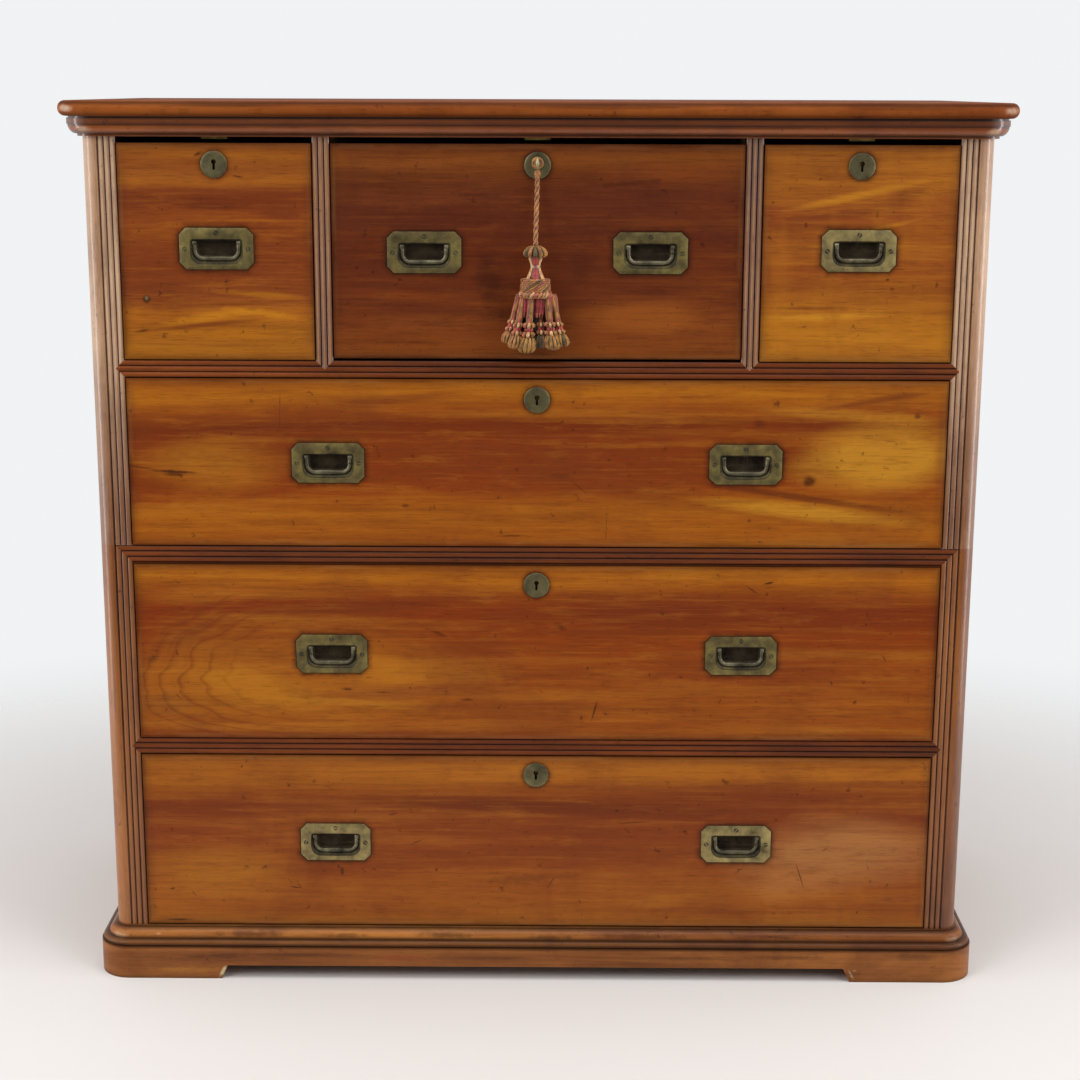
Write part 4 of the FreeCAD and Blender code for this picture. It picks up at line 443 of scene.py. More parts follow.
# the rails' crests are paler: rubbed, and partly a painted highlight
rail = {"gold": "844214", "honey": "642c0b", "brown": "441c09", "coat": 0.12, "coatRough": 0.3, "streak": 0.35,
        "crest": ("945226", 0.25)}
reedsFrom = {  # where the three reeds start: out from the middle on uprights, up from the floor on rails
    "column": ("X", 0.495), "divider": ("X", 0.244), "lower_middle_rail": ("Z", 0.293),
    "lower_top_rail": ("Z", 0.5395), "upper_rail": ("Z", 0.768)}
woods = {
    "mouldings": makeWood(
        "camphorwood_moulding", seed=41.0, stains=0.6, **moulding,
        # dark lines of dirt and painted shade along the moulding's hollows
        lines=((1073.8, 1.6, 0.95), (1066, 1.1, 0.8), (1055.2, 1.2, 0.85), (1069.5, 0.6, 0.4)),
        patches=(
            # painted highlights on both front corners, then dark streaks along the moulding, dirt and painted shade
            (-530, 1060, 12, 5, 0, "d0b094", 0.8, 0.4), (530, 1060, 12, 5, 0, "c09c80", 0.7, 0.4),
            (-320, 1063.5, 100, 2, 0, black, 0.4, 0.9), (240, 1063.5, 140, 2, 0, black, 0.4, 0.9))),
    # the columns' and dividers' crests are paler: rubbed, and partly a painted highlight
    "upper_columns": makeWood(
        "camphorwood_upper_column", seed=47.0, **upperColumn, dirt=0.9, grooves=reedsFrom["column"],
        # the upper columns are darker towards their foot
        crest=("dab894", 0.72), patches=((0, 550, 2000, 260, 0, "703e1c", 0.85, 0.0),)),
    "lower_columns": makeWood(
        "camphorwood_lower_column", seed=45.0, **lowerColumn, dirt=0.9, grooves=reedsFrom["column"],
        crest=("9a6a40", 0.35)),
    "dividers": makeWood(
        "camphorwood_divider", seed=49.0, **moulded, **uprightGrain, grooves=reedsFrom["divider"],
        crest=("bc946c", 0.7)),
    "sides": makeWood("camphorwood_side", seed=52.0, gold="a06424", honey="824416", brown="5c2a10", **sideGrain),
    "top": makeWood(
        "camphorwood_top", seed=58.0, gold="a25a24", honey="814118", brown="582510", coat=0.0, rough=0.58,
        # a dark line on the nosing's upper edge, painted shade, and one in the quirk under the board, painted shadow
        gloss=0.06, **flatGrain, lines=((1090.5, 2.4, 0.75), (1076.2, 1, 0.5)),
        patches=(
            # painted highlights on both front corners, then painted shade along the nosing's upper edge
            (-549, 1084, 12, 5, 0, "d0b49a", 0.75, 0.4), (549, 1084, 12, 5, 0, "bc9c80", 0.65, 0.4),
            (-360, 1087.5, 90, 3, 0, black, 0.45, 0.9), (100, 1087.5, 120, 3, 0, black, 0.4, 0.9),
            (420, 1086.5, 70, 3, 0, black, 0.4, 0.9))),
    "plinth": makeWood(
        "camphorwood_plinth", seed=63.0, gold="aa6c31", honey="885024", brown="5d2f14", stains=0.7, coat=0.1,
        # dark lines of dirt and painted shade in the mouldings' hollows, and painted shade along the foot on the floor
        lines=((62.5, 1.4, 0.85), (50.5, 1, 0.85), (45.8, 0.8, 0.6), (43.2, 1.6, 0.95), (0, 3, 0.6)),
        patches=(
            # pale chips on the feet, and long dark streaks of dirt and painted shade
            (-397.5, 10, 3, 10, -28, "c8bb90", 0.9, 0.35), (401.5, 10, 2, 9, 28, "bba97c", 0.8, 0.35),
            (406, 15.5, 3.5, 1.8, 0, "bba97c", 0.7, 0.4), (-400, 31, 50, 4, 2, black, 0.4, 0.9),
            (-440, 12, 50, 6, 0, "a46c2c", 0.5, 0.7), (-360, 56, 50, 4, 0, black, 0.55, 0.9),
            (-240, 55, 30, 3, 0, black, 0.5, 0.9), (-110, 56, 50, 4, 0, black, 0.55, 0.9),
            (20, 54, 40, 3, 0, black, 0.5, 0.9), (140, 55, 60, 4, 0, black, 0.5, 0.9),
            (300, 56, 50, 3, 0, black, 0.5, 0.9), (-300, 33, 70, 5, 0, black, 0.4, 0.9),
            (-50, 30, 80, 4, 0, black, 0.35, 0.9), (180, 31, 70, 4, 0, black, 0.35, 0.9),
            (310, 33, 60, 4, 0, black, 0.4, 0.9), (-170, 30, 40, 6, 0, "8c3c20", 0.4, 0.6),
            (480, 35, 40, 6, 0, black, 0.4, 0.9), (-528, 53, 12, 3.5, 0, "c49c74", 0.6, 0.5),
            (530, 53, 12, 3.5, 0, "c49c74", 0.5, 0.5), (-480, 56, 4, 2, 0, "b88c64", 0.6, 0.4))),
    "carcase": makeWood(
        "deal_carcase", seed=70.0, gold="c39a63", honey="ac8350", brown="8d6438", stain="4d3420", stains=0.3,
        rough=0.6, coat=0.0, **flatGrain),
    "boxes": makeWood(
        "camphorwood_box", seed=77.0, gold="b8864c", honey="9c6a36", brown="7c4e24", stain="4a2a14", stains=0.25,
        rough=0.55, coat=0.0, **flatGrain),
}
for name in ("lower_middle_rail", "lower_top_rail", "upper_rail"):
    woods[name] = makeWood("camphorwood_" + name, seed=reedsFrom[name][1] * 90, grooves=reedsFrom[name], **rail)
# worn, grimed or polished, by where each piece of brass sits
brass = {
    "plate": makeBrass("tarnished_brass_plate"),
    "polished": makeBrass("rubbed_brass_plate", rubbed="ac9a60", tarnish="84744a", dark="50472a"),
    "bail": makeBrass("tarnished_brass_bail", rubbed="8c8468", tarnish="5c5642", dark="2c281e", rough=0.42,
                      metal=0.6),
    "disc": makeBrass("tarnished_brass_disc", rubbed="756c48", tarnish="5c5438", dark="3e3824"),
    "inside": makeBrass("brass_inside", rubbed="c2a860", tarnish="907b42", dark="4c4424", metal=0.8),
    "screw": makeBrass("grimy_screw", rubbed="5c543a", tarnish="3a3424", dark="1c1912", metal=0.3),
    "recess": makeBrass("grimy_recess", rubbed="544a2c", tarnish="373020", dark="1c170d", metal=0.3, gloss=0.15),
    # the finger pocket is painted dark brown and dull: painted shade inside it
    "pocket": makeBrass("finger_pocket_painted_shade", rubbed="4c4030", tarnish="3a3024", dark="1c1610", metal=0.0, rough=0.7,
                        gloss=0.08),
}
leather = makeLeather("oxblood_skiver")
threads = [makeThread(name, *shades) for name, *shades in (
    ("gold_silk", "a4722a", "5c3812"), ("pink_silk", "b0573c", "6e2a1c"), ("crimson_silk", "a82a2e", "5c1216"),
    ("cream_silk", "d8a674", "8c5c34"), ("olive_silk", "55441a", "281f0c"), ("grey_silk", "8c8684", "4c4846"),
    ("umber_painted_shade", "1e120a", "0e0704"), ("amber_silk", "b0743a", "6e3e18"), ("brown_silk", "70451c", "422610"))]
gold, pink, red, cream, olive, grey, shadeUmber, amber, brown = range(9)
print("materials made")


def dress(material, *nodes):  # gives CAD nodes their material
    for name in nodes:
        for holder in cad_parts[name].material_slots:
            holder.material = material


dress(woods["upper_columns"], "upper_columns")
dress(woods["lower_columns"], "lower_columns")
dress(woods["dividers"], "upper_dividers")
dress(woods["sides"], "lower_sides", "upper_sides")
dress(woods["top"], "top_board")
dress(woods["mouldings"], "cornice_moulding")
dress(woods["plinth"], "plinth_front", "plinth_sides")
dress(woods["carcase"], "under_top", "lower_boards", "upper_boards", "lower_back", "upper_back", "upper_partitions",
      "plinth_back", "locating_pegs")
for name in ("lower_middle_rail", "lower_top_rail", "upper_rail"):
    dress(woods[name], name)
for name in ("bottom_drawer", "middle_drawer", "long_drawer", "left_drawer", "right_drawer"):
    dress(frontWoods[name], name + "_front")
    dress(woods["boxes"], name + "_box")
    dress(brass["plate"], name + "_brass")
dress(frontWoods["fall"], "fall_front")
dress(woods["boxes"], "secretaire_box", "pigeonholes", "small_left_drawer", "small_right_drawer")
dress(leather, "writing_leather")
dress(brass["plate"], "fall_brass")
dress(brass["inside"], "fall_stays", "fall_hinges", "lock_bolt", "strike_plates")
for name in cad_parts:
    if name.endswith("_bail"):
        dress(brass["bail"], name)


def finish(mesh, name, materials, body, slot="brass", smoothBelow=35):
    # makes a mesh an object, smooth across edges flatter than the angle, and hangs it on its body's empty; slot is not
    # used
    for face in mesh.faces:
        face.smooth = True
    for edge in mesh.edges:
        if len(edge.link_faces) == 2:
            edge.smooth = edge.calc_face_angle() < math.radians(smoothBelow)
    data = bpy.data.meshes.new(name)
    mesh.to_mesh(data)
    mesh.free()
    for material in materials if isinstance(materials, (list, tuple)) else [materials]:
        data.materials.append(material)
    piece = bpy.data.objects.new(name, data)
    bpy.context.collection.objects.link(piece)
    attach(piece, body)
    return piece


def edgesOf(verts):  # each once, in an order that is the same each run
    return list(dict.fromkeys(edge for vert in verts for edge in vert.link_edges))


def addLoop(mesh, half, top, bottom, topRound, bottomRound, y, cant=False, steps=48):
    # a closed loop of edges: a box outline with round or canted corners, in millimetres
    ring = bmesh.ops.create_circle(mesh, segments=steps, radius=1.0)["verts"]
    for vert in ring:
        turn = math.atan2(vert.co.y, vert.co.x) + math.pi / steps
        across, up = math.cos(turn), math.sin(turn)
        radius = topRound if up > 0 else bottomRound
        long, tall = half - radius, (top if up > 0 else bottom) - radius
        length = (abs(across) + abs(up)) if cant else 1.0
        hug = 60 if cant else 4  # how soon the circle's points leave the middle for the corners
        vert.co = Vector((max(-long, min(long, across * hug * long)) + radius * across / length, y,
                          max(-tall, min(tall, up * hug * tall)) + radius * up / length)) / 1000
    return edgesOf(ring)


def skin(mesh, loops, capFirst=False, capLast=False):
    # joins loops one after another and closes the ends that are wanted
    for first, second in zip(loops, loops[1:]):
        bmesh.ops.bridge_loops(mesh, edges=first + second)
    for loop, wanted in ((loops[0], capFirst), (loops[-1], capLast)):
        if wanted:
            bmesh.ops.edgeloop_fill(mesh, edges=loop)
    bmesh.ops.recalc_face_normals(mesh, faces=mesh.faces)


def shift(mesh, x, y, z):
    bmesh.ops.translate(mesh, verts=mesh.verts, vec=(x, y, z))


screw = {"radius": 3.0, "slot": 0.45, "depth": 0.5, "proud": 0.05}


def addScrew(mesh, x, z, y, turn):
    # a countersunk head, filed flush, with its slot turned a little differently each time
    ring = bmesh.ops.create_circle(mesh, segments=20, radius=screw["radius"] / 1000, cap_ends=True)["verts"]
    geometry = list(ring[0].link_faces) + edgesOf(ring) + ring
    for side in (-1, 1):
        cut = bmesh.ops.bisect_plane(mesh, geom=geometry, plane_co=(0, side * screw["slot"] / 1000, 0),
                                     plane_no=(0, 1, 0))
        geometry = cut["geom"]
    faces = [item for item in geometry if isinstance(item, bmesh.types.BMFace)]
    groove = [face for face in faces if abs(face.calc_center_median().y) < screw["slot"] / 2000]
    sunk = bmesh.ops.extrude_face_region(mesh, geom=groove)["geom"]
    floor = [item for item in sunk if isinstance(item, bmesh.types.BMVert)]
    bmesh.ops.translate(mesh, verts=floor, vec=(0, 0, -screw["depth"] / 1000))
    bmesh.ops.delete(mesh, geom=groove, context="FACES_ONLY")
    verts = list({vert for face in faces if face.is_valid for vert in face.verts} | set(floor))
    place = (Matrix.Translation((x / 1000, y / 1000, z / 1000)) @ Matrix.Rotation(math.pi / 2, 4, "X")
             @ Matrix.Rotation(math.radians(turn), 4, "Z"))
    bmesh.ops.transform(mesh, matrix=place, verts=verts)


def makePlate(name, body, x, z, seed):
    # a canted flush plate with its recess, its finger pocket and its three screws
    mesh = bmesh.new()
    half, rise, cant, proud, arris = (plate[size] for size in ("half", "rise", "cant", "proud", "arris"))
    loops = [addLoop(mesh, half - inset, rise - inset, rise - inset, cant, cant, y, True)
             for inset, y in ((0, plate["back"]), (0, plate["arrisDrop"] - proud), (arris, -proud))]
    loops += [addLoop(mesh, *sizes, depth - proud) for *sizes, depth in plate["recess"]]
    skin(mesh, loops, capLast=True)
    wide, top, foot = (size - 0.2 for size in plate["recess"][0][:3])  # just inside the recess's rim
    for face in mesh.faces:
        across, depth, up = face.calc_center_median() * 1000
        # faces deep in the finger pocket take its painted shade
        if depth > plate["pocket"]:
            face.material_index = 2
        elif abs(across) < wide and -foot < up < top and depth > -0.1:
            face.material_index = 3
    known = set(mesh.faces)
    for count, (across, up) in enumerate(plate["screws"]):
        addScrew(mesh, across, up, -proud - screw["proud"], seed * 53 + count * 71)
    for face in set(mesh.faces) - known:
        face.material_index = 1
    shift(mesh, x, frontFace, z)
    metal = brass["polished" if body in ("right_drawer", "bottom_drawer") else "plate"]  # more often handled
    return finish(mesh, name, (metal, brass["screw"], brass["pocket"], brass["recess"]), body)


# the grip's swell ends short of the arms, by its plain length
bail = {"arm": 26.0, "drop": 18.2, "rod": 2.3, "corner": 10.0, "head": 1.5, "inset": 3.2, "swell": 0.22, "plain": 4.0,
        "sides": 14, "arris": 0.6, "ear": 3.1, "earLength": 4.6, "earOut": 0.4, "pin": 1.4, "pinLength": 6.2,
        "pinOut": 2.8}


def makeBail(name, body, x, z):
    mesh = bmesh.new()
    arm, drop, rod, corner, head, arris = (bail[size] / 1000 for size in ("arm", "drop", "rod", "corner", "head",
                                                                          "arris"))
    start = bmesh.ops.create_circle(mesh, segments=bail["sides"], radius=rod, cap_ends=True)["verts"]
    bmesh.ops.translate(mesh, verts=start, vec=(-arm, 0, head))

    def push(face, vector):
        out = bmesh.ops.extrude_face_region(mesh, geom=[face])["geom"]
        verts = [item for item in out if isinstance(item, bmesh.types.BMVert)]
        bmesh.ops.translate(mesh, verts=verts, vec=vector)
        bmesh.ops.delete(mesh, geom=[face], context="FACES_ONLY")
        return [item for item in out if isinstance(item, bmesh.types.BMFace)][0]

    def bend(face, centre, angle):
        out = bmesh.ops.spin(mesh, geom=[face], cent=centre, axis=(0, 1, 0), dvec=(0, 0, 0), angle=angle, steps=8,
                             use_merge=False, use_duplicate=False)["geom_last"]
        if face.is_valid:
            bmesh.ops.delete(mesh, geom=[face], context="FACES_ONLY")
        return [item for item in out if isinstance(item, bmesh.types.BMFace)][0]

    bottom = -drop + corner
    face = push(list(mesh.faces)[0], (0, 0, bottom - head))
    face = bend(face, (-arm + corner, 0, bottom), -math.pi / 2)
    for part in range(4):
        face = push(face, ((arm - corner) / 2, 0, 0))
    face = bend(face, (arm - corner, 0, bottom), -math.pi / 2)
    push(face, (0, 0, head - bottom))
    bmesh.ops.recalc_face_normals(mesh, faces=mesh.faces)
    for vert in mesh.verts:  # the grip swells towards its middle, where fingers have kept it bright
        if vert.co.z < bottom and abs(vert.co.x) < arm - corner:
            swell = 1 + bail["swell"] * max(0.0, 1 - abs(vert.co.x) / (arm - bail["plain"] / 1000))
            vert.co.z = -drop + (vert.co.z + drop) * swell
    for side in (-1, 1):
        for part in ("ear", "pin"):
            radius, length, out = (bail[size] / 1000 for size in (part, part + "Length", part + "Out"))
            stub = bmesh.ops.create_cone(mesh, cap_ends=True, segments=18 if part == "ear" else 12, radius1=radius,
                                         radius2=radius, depth=length)["verts"]
            if part == "ear":
                edges = [edge for edge in edgesOf(stub) if edge.calc_face_angle() > 1]
                bmesh.ops.bevel(mesh, geom=edges, offset=arris, segments=2, profile=0.5, affect="EDGES", material=-1)
                stub = [vert for vert in mesh.verts if vert.co.length < 2 * radius]
            bmesh.ops.transform(mesh, verts=stub, matrix=Matrix.Translation((side * (arm + out), 0, 0))
                                @ Matrix.Rotation(math.pi / 2, 4, "Y"))
    shift(mesh, x, frontFace + bail["inset"] / 1000, z + pivot)
    return finish(mesh, name, brass["bail"], body)


def keyholeReach(turn):
    # how far the keyhole's edge lies from the middle of its round, going down into its slot
    across, up = math.cos(turn), math.sin(turn)
    slotReach = min(disc["slot"] / max(abs(across), 1e-4), disc["foot"] / max(-up, 1e-4)) if up < 0 else 0
    return max(disc["hole"], slotReach)


def makeEscutcheon(name, body, x, z):
    # a domed disc: its rings, then the keyhole's two edges
    mesh = bmesh.new()
    loops = []
    for radius, y in disc["rings"]:
        ring = bmesh.ops.create_circle(mesh, segments=disc["sides"], radius=radius / 1000)["verts"]
        bmesh.ops.transform(mesh, matrix=Matrix.Translation((0, y / 1000, 0)) @ Matrix.Rotation(math.pi / 2, 4, "X"),
                            verts=ring)
        loops.append(edgesOf(ring))
    for y in (disc["rings"][-1][1], disc["rings"][0][1]):
        ring = bmesh.ops.create_circle(mesh, segments=disc["sides"], radius=1)["verts"]
        for vert in ring:
            turn = math.atan2(vert.co.y, vert.co.x)
            reach = keyholeReach(turn) / 1000
            vert.co = Vector((reach * math.cos(turn), y / 1000, disc["rise"] / 1000 + reach * math.sin(turn)))
        loops.append(edgesOf(ring))
    skin(mesh, loops)
    shift(mesh, x, frontFace, z)
    return finish(mesh, name, brass["disc"], body)


lockCase = {"half": 31.0, "height": 40.0, "thick": 9.0, "arris": 0.6, "keyhole": 4.2, "keyDown": 19.5, "rivet": 1.9,
            "rivets": ((-26, -6), (26, -6), (-26, -34), (26, -34))}


def makeLock(name, body, x, top, back):
    # a box lock: its brass cap shows inside the front, and its edge plate along the front's top
    mesh = bmesh.new()
    half, height, thick, arris, keyhole, keyDown, rivet = (
        lockCase[size] / 1000 for size in ("half", "height", "thick", "arris", "keyhole", "keyDown", "rivet"))
    bmesh.ops.create_cube(mesh, size=1)
    bmesh.ops.scale(mesh, vec=(2 * half, thick, height), verts=mesh.verts)
    bmesh.ops.bevel(mesh, geom=list(mesh.edges), offset=arris, segments=2, profile=0.5, affect="EDGES", material=-1)
    shift(mesh, 0, -thick / 2, -height / 2)
    hole = bmesh.ops.create_cone(mesh, cap_ends=True, segments=24, radius1=keyhole, radius2=keyhole, depth=0.0008)
    bmesh.ops.transform(mesh, matrix=Matrix.Translation((0, 0.0002, -keyDown)) @ Matrix.Rotation(math.pi / 2, 4, "X"),
                        verts=hole["verts"])
    for across, up in lockCase["rivets"]:
        head = bmesh.ops.create_uvsphere(mesh, u_segments=12, v_segments=6, radius=rivet)["verts"]
        bmesh.ops.scale(mesh, vec=(1, 0.35, 1), verts=head)
        bmesh.ops.translate(mesh, verts=head, vec=(across / 1000, 0, up / 1000))
    shift(mesh, x, back, top)
    return finish(mesh, name, brass["inside"], body)


for count, name in enumerate(handleRow):
    front = frontOf(name)
    low, high = front["box"]
    centre, level = front["discs"][0]
    made = []
    for number, (bailName, (x, z)) in enumerate(zip(bailsOf(name), front["plates"])):
        made.append(makePlate(f"{name}_plate_{number}", name, x, z, count * 2 + number))
        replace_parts(makeBail(bailName + "_grip", bailName, x, z), bailName)
    made.append(makeEscutcheon(name + "_escutcheon", name, centre, level))
    made.append(makeLock(name + "_box_lock", name, centre, high[2], high[1]))
    for piece in made:
        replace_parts(piece, name + "_brass")
print("brassware made")

# lengths along the shank run from the drawer's face; "longer" makes the ring taller than it is wide
key = {"x": 0.0, "z": 1.023, "shank": 2.4, "reach": 14.0, "tail": 13.0, "bow": 6.0, "wire": 1.6, "longer": 1.05,
       "arris": 0.3}
key["rods"] = ((key["shank"], -key["reach"], key["tail"]),  # the shank, then its two collars
               (key["shank"] + 1.1, -key["reach"] - 0.4, 1.4 - key["reach"]), (key["shank"] + 0.8, -2.6, -1.2))
mesh = bmesh.new()
wire = bmesh.ops.create_circle(mesh, segments=16, radius=key["wire"] / 1000)["verts"]
wireEdges = edgesOf(wire)
bmesh.ops.translate(mesh, verts=wire, vec=(key["bow"] / 1000, 0, 0))
bmesh.ops.spin(mesh, geom=wire + wireEdges, cent=(0, 0, 0), axis=(0, 1, 0), dvec=(0, 0, 0), angle=2 * math.pi,
               steps=40, use_merge=True, use_duplicate=False)
bmesh.ops.remove_doubles(mesh, verts=mesh.verts, dist=1e-6)
bmesh.ops.transform(mesh, verts=mesh.verts, matrix=Matrix.Translation((0, -(key["reach"] + key["bow"]) / 1000, 0))
                    @ Matrix.Rotation(math.pi / 2, 4, "Z") @ Matrix.Scale(key["longer"], 4, (0, 0, 1)))
for radius, start, stop in key["rods"]:
    rod = bmesh.ops.create_cone(mesh, cap_ends=True, segments=24, radius1=radius / 1000, radius2=radius / 1000,
                                depth=(stop - start) / 1000)["verts"]
    rims = [edge for edge in edgesOf(rod) if edge.calc_face_angle() > 1]
    bmesh.ops.transform(mesh, verts=rod, matrix=Matrix.Translation((0, (start + stop) / 2000, 0))
                        @ Matrix.Rotation(math.pi / 2, 4, "X"))
    bmesh.ops.bevel(mesh, geom=rims, offset=key["arris"] / 1000, segments=2, profile=0.5, affect="EDGES",
                    material=-1)
bmesh.ops.recalc_face_normals(mesh, faces=mesh.faces)
shift(mesh, key["x"], frontFace, key["z"])
keyBrass = makeBrass("old_brass_key", rubbed="c0b486", tarnish="93875c", dark="574e30", rough=0.34)
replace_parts(finish(mesh, "key_with_ring_bow", keyBrass, "key", "steel"), "key")


def addBundle(mesh, rings, ribs, depth, paints, gap=None, twist=0.0, place=(0, 0), lean=(0, 0), flat=1.0):
    # a bundle of threads: ribbed rings, each (distance down, radius) in millimetres, closed at both ends, with its
    # threads' colours in turn and a darker colour between them as painted shade
    loops = []
    for down, radius in rings:
        ring = bmesh.ops.create_circle(mesh, segments=ribs * 6, radius=1.0)["verts"]
        loops.append(edgesOf(ring))
        for vert in ring:
            turn = math.atan2(vert.co.y, vert.co.x)
            bulge = 1 - depth * (1 - abs(math.cos((turn + math.pi / 2) * ribs / 2 + math.pi * twist * down)))
            vert.co = Vector((place[0] + lean[0] * down + radius * bulge * math.cos(turn),
                              place[1] + lean[1] * down + radius * bulge * math.sin(turn) * flat, -down)) / 1000
    known = len(mesh.faces)
    for first, second in zip(loops, loops[1:]):
        bmesh.ops.bridge_loops(mesh, edges=first + second)
    for loop in (loops[0], loops[-1]):
        bmesh.ops.edgeloop_fill(mesh, edges=loop)
    made = list(mesh.faces)[known:]
    bmesh.ops.recalc_face_normals(mesh, faces=made)
    for face in made:
        middle = face.calc_center_median() * 1000
        down = -middle.z
        turn = math.atan2((middle.y - place[1] - lean[1] * down) / flat, middle.x - place[0] - lean[0] * down)
        strand = ((turn + math.pi / 2) / (2 * math.pi)) * ribs + twist * down
        nearest = round(strand)
        # faces between threads take the gap colour, painted shade
        between = gap is not None and abs(strand - nearest) > 0.36
        face.material_index = gap if between else paints[nearest % len(paints)]
        if len(face.verts) > 4:  # a closed end takes the first thread's colour
            face.material_index = paints[0]


# the tassel hangs from its top, a place in metres; the rest is rings (distance down, radius) in millimetres
tassel = {
    "top": (-0.002, -0.2475, 0.9288),
    "cap": [(0, 2.4), (0.8, 6.5), (2.5, 10.0), (5.5, 13.0), (8.5, 14.6), (11.5, 14.2), (13.6, 11.8), (14.4, 7.0)],
    "neck": [(12.0, 9.6), (16, 8.8), (20, 7.0), (24.5, 5.6), (29, 7.4), (34, 9.8), (39.6, 12.2), (41, 9)],
    "tie": [(22.8, 5.0), (23.4, 6.1), (24.1, 6.3), (24.7, 5.8), (25.3, 6.3), (26.0, 6.1), (26.6, 5.2)],
    "collar": [(38.4, 13.0), (38.8, 16.2)] + [  # wound with six turns of cord
        (39.2 + turn * 2.4 + share * 2.4, 16.6 + 0.14 * turn + 1.3 * math.sin(math.pi * share))
        for turn in range(6) for share in (0.04, 0.3, 0.6, 0.96)] + [(54.0, 15)],
    "foot": [(52.6, 15), (53.2, 18.0), (55.2, 19.8), (57.5, 20.0), (59.8, 19.4), (61.0, 17.8), (61.4, 14)],
    "core": [(58, 14), (75, 17), (95, 20), (106, 21), (110, 15)],
    "strand": [(58, 2.0), (64, 2.6), (78, 2.2), (84, 0.8)],
    "bell": ((19.5, 0.5), (17, 0.74), (12, 0.95), (7, 1.0), (3.4, 0.9), (1.2, 0.68), (0.0, 0.35)),
    "smallHead": 57.5,
    # each small tassel: its head (x, y), its foot (x, y), how low it hangs, its bell's radius, its two threads; the
    # ones behind are mostly given olive and brown threads, as painted shade
    "small": (
        (-19, 1, -33.5, 0, 114.5, 8.6, gold, pink), (-14, -4, -24.5, -6, 121.0, 9.6, amber, gold),
        (-4, -8, -10.5, -7.4, 125.8, 11.2, gold, gold), (5, 3, 8, -1, 121.0, 9.8, olive, brown),
        (13, -5, 21.5, -6.2, 122.0, 10.2, gold, amber), (19, 0, 33.0, -1, 118.5, 9.0, gold, olive),
        (-9, 6, -18, 8.0, 117.0, 8.2, olive, brown), (12, 7, 15, 8.5, 117.5, 8.2, brown, olive),
        (0, 7, -1, 8.8, 118.5, 8.2, brown, gold), (22, 6, 27, 8.5, 115.5, 7.6, pink, brown),
        (-20, 6, -27, 8.5, 113.5, 7.6, brown, pink)),
    "strandDrop": 24,  # a loose red strand's foot is given this far below its head
    # loose red strands: head x, y, foot x
    "strands": ((-11, -6, -13), (-8, -6, -9), (3, -7.5, 2), (6, -7, 5), (9, -5, 8), (-20, 0, -25), (17, -3, 19),
                (-16, -1, -18), (1, -5, 0)),
}


def addSmallTassel(mesh, headX, headY, footX, footY, low, radius, light, shade):
    # a leaning stem, two ruffs of looped silk with a bound neck between, and a bell of cut silk
    high, span = tassel["smallHead"], radius / 11
    stem = low - 35 * span
    lean = ((footX - headX) / (low - high), (footY - headY) / (low - high))
    where = {"place": (headX - lean[0] * high, headY - lean[1] * high), "lean": lean}
    addBundle(mesh, [(high, 3.0), (high + 5, 3.8), (stem - 6, 4.4), (stem, 4.0)], 4, 0.3, (light, pink), brown, 0.08,
              **where)
    for rise, size in ((32.0, 7.8), (21.5, 8.6)):
        middle, size = low - rise * span, size * span
        rings = [(middle - 4.0 * span, 3.2), (middle - 3.0 * span, 0.72 * size), (middle - 0.8, size),
                 (middle + 1.8 * span, 0.94 * size), (middle + 3.4 * span, 0.55 * size)]
        addBundle(mesh, rings, 7, 0.4, (cream, gold, amber, cream, pink), brown, 0.0, **where)
    addBundle(mesh, [(low - 30 * span, 4.0), (low - 27 * span, 5.6 * span), (low - 24 * span, 4.2)], 8, 0.2,
              (red, red, pink), None, 0.0, **where)
    bell = [(low - up * span, radius * share) for up, share in tassel["bell"]]
    addBundle(mesh, bell, 11, 0.26, (light, light, shade), olive, 0.012, flat=0.9, **where)


silk = {"slot": "gold_passementerie", "smoothBelow": 75}


def tasselPiece(mesh, name):
    shift(mesh, *tassel["top"])
    piece = finish(mesh, name, threads, "hanging_tassel", **silk)
    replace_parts(piece, "tassel")
    return piece


mesh = bmesh.new()
addBundle(mesh, tassel["cap"], 11, 0.34, (olive, gold, gold, amber, gold, olive, amber), brown)
tasselPiece(mesh, "tassel_cap")
mesh = bmesh.new()
addBundle(mesh, tassel["neck"], 6, 0.2, (red, cream), brown)
addBundle(mesh, tassel["tie"], 10, 0.1, (grey, cream), None)
tasselPiece(mesh, "tassel_neck")
mesh = bmesh.new()
addBundle(mesh, tassel["collar"], 22, 0.05, (gold, pink, gold, amber, brown), brown, 0.32, flat=0.9)
addBundle(mesh, tassel["foot"], 24, 0.09, (amber, amber, cream, pink), brown, 0.12, flat=0.88)
tasselPiece(mesh, "tassel_collar")
mesh = bmesh.new()
for places in tassel["small"]:
    addSmallTassel(mesh, *places)
for headX, y, footX in tassel["strands"]:
    lean = (footX - headX) / tassel["strandDrop"]
    addBundle(mesh, tassel["strand"], 4, 0.25, (red, red, pink), shadeUmber, 0.1,
              (headX - lean * tassel["strand"][0][0], y), (lean, 0))
# a dark core inside the skirt: painted shade
addBundle(mesh, tassel["core"], 16, 0.12, (shadeUmber,), None, 0.0, (0, 4), flat=0.3)
tasselPiece(mesh, "tassel_skirt")

# three strands: how far each lies from the middle, its radius, and how far along it goes once round, in millimetres
cord = {"path": ((0, -0.233, 1.0108), (-0.0005, -0.2325, 0.985), (-0.0015, -0.2435, 0.953), tassel["top"]),
        "length": 0.0837, "diameter": 0.0052, "strands": 3, "offset": 1.4, "strand": 1.6, "lead": 27.0,
        "knot": 0.0039, "knotShape": (1, 0.95, 1.15), "pieces": 26,
        "eye": 0.0052, "eyeSteps": 36, "thinner": 0.72}  # the eye's cord is pulled thinner


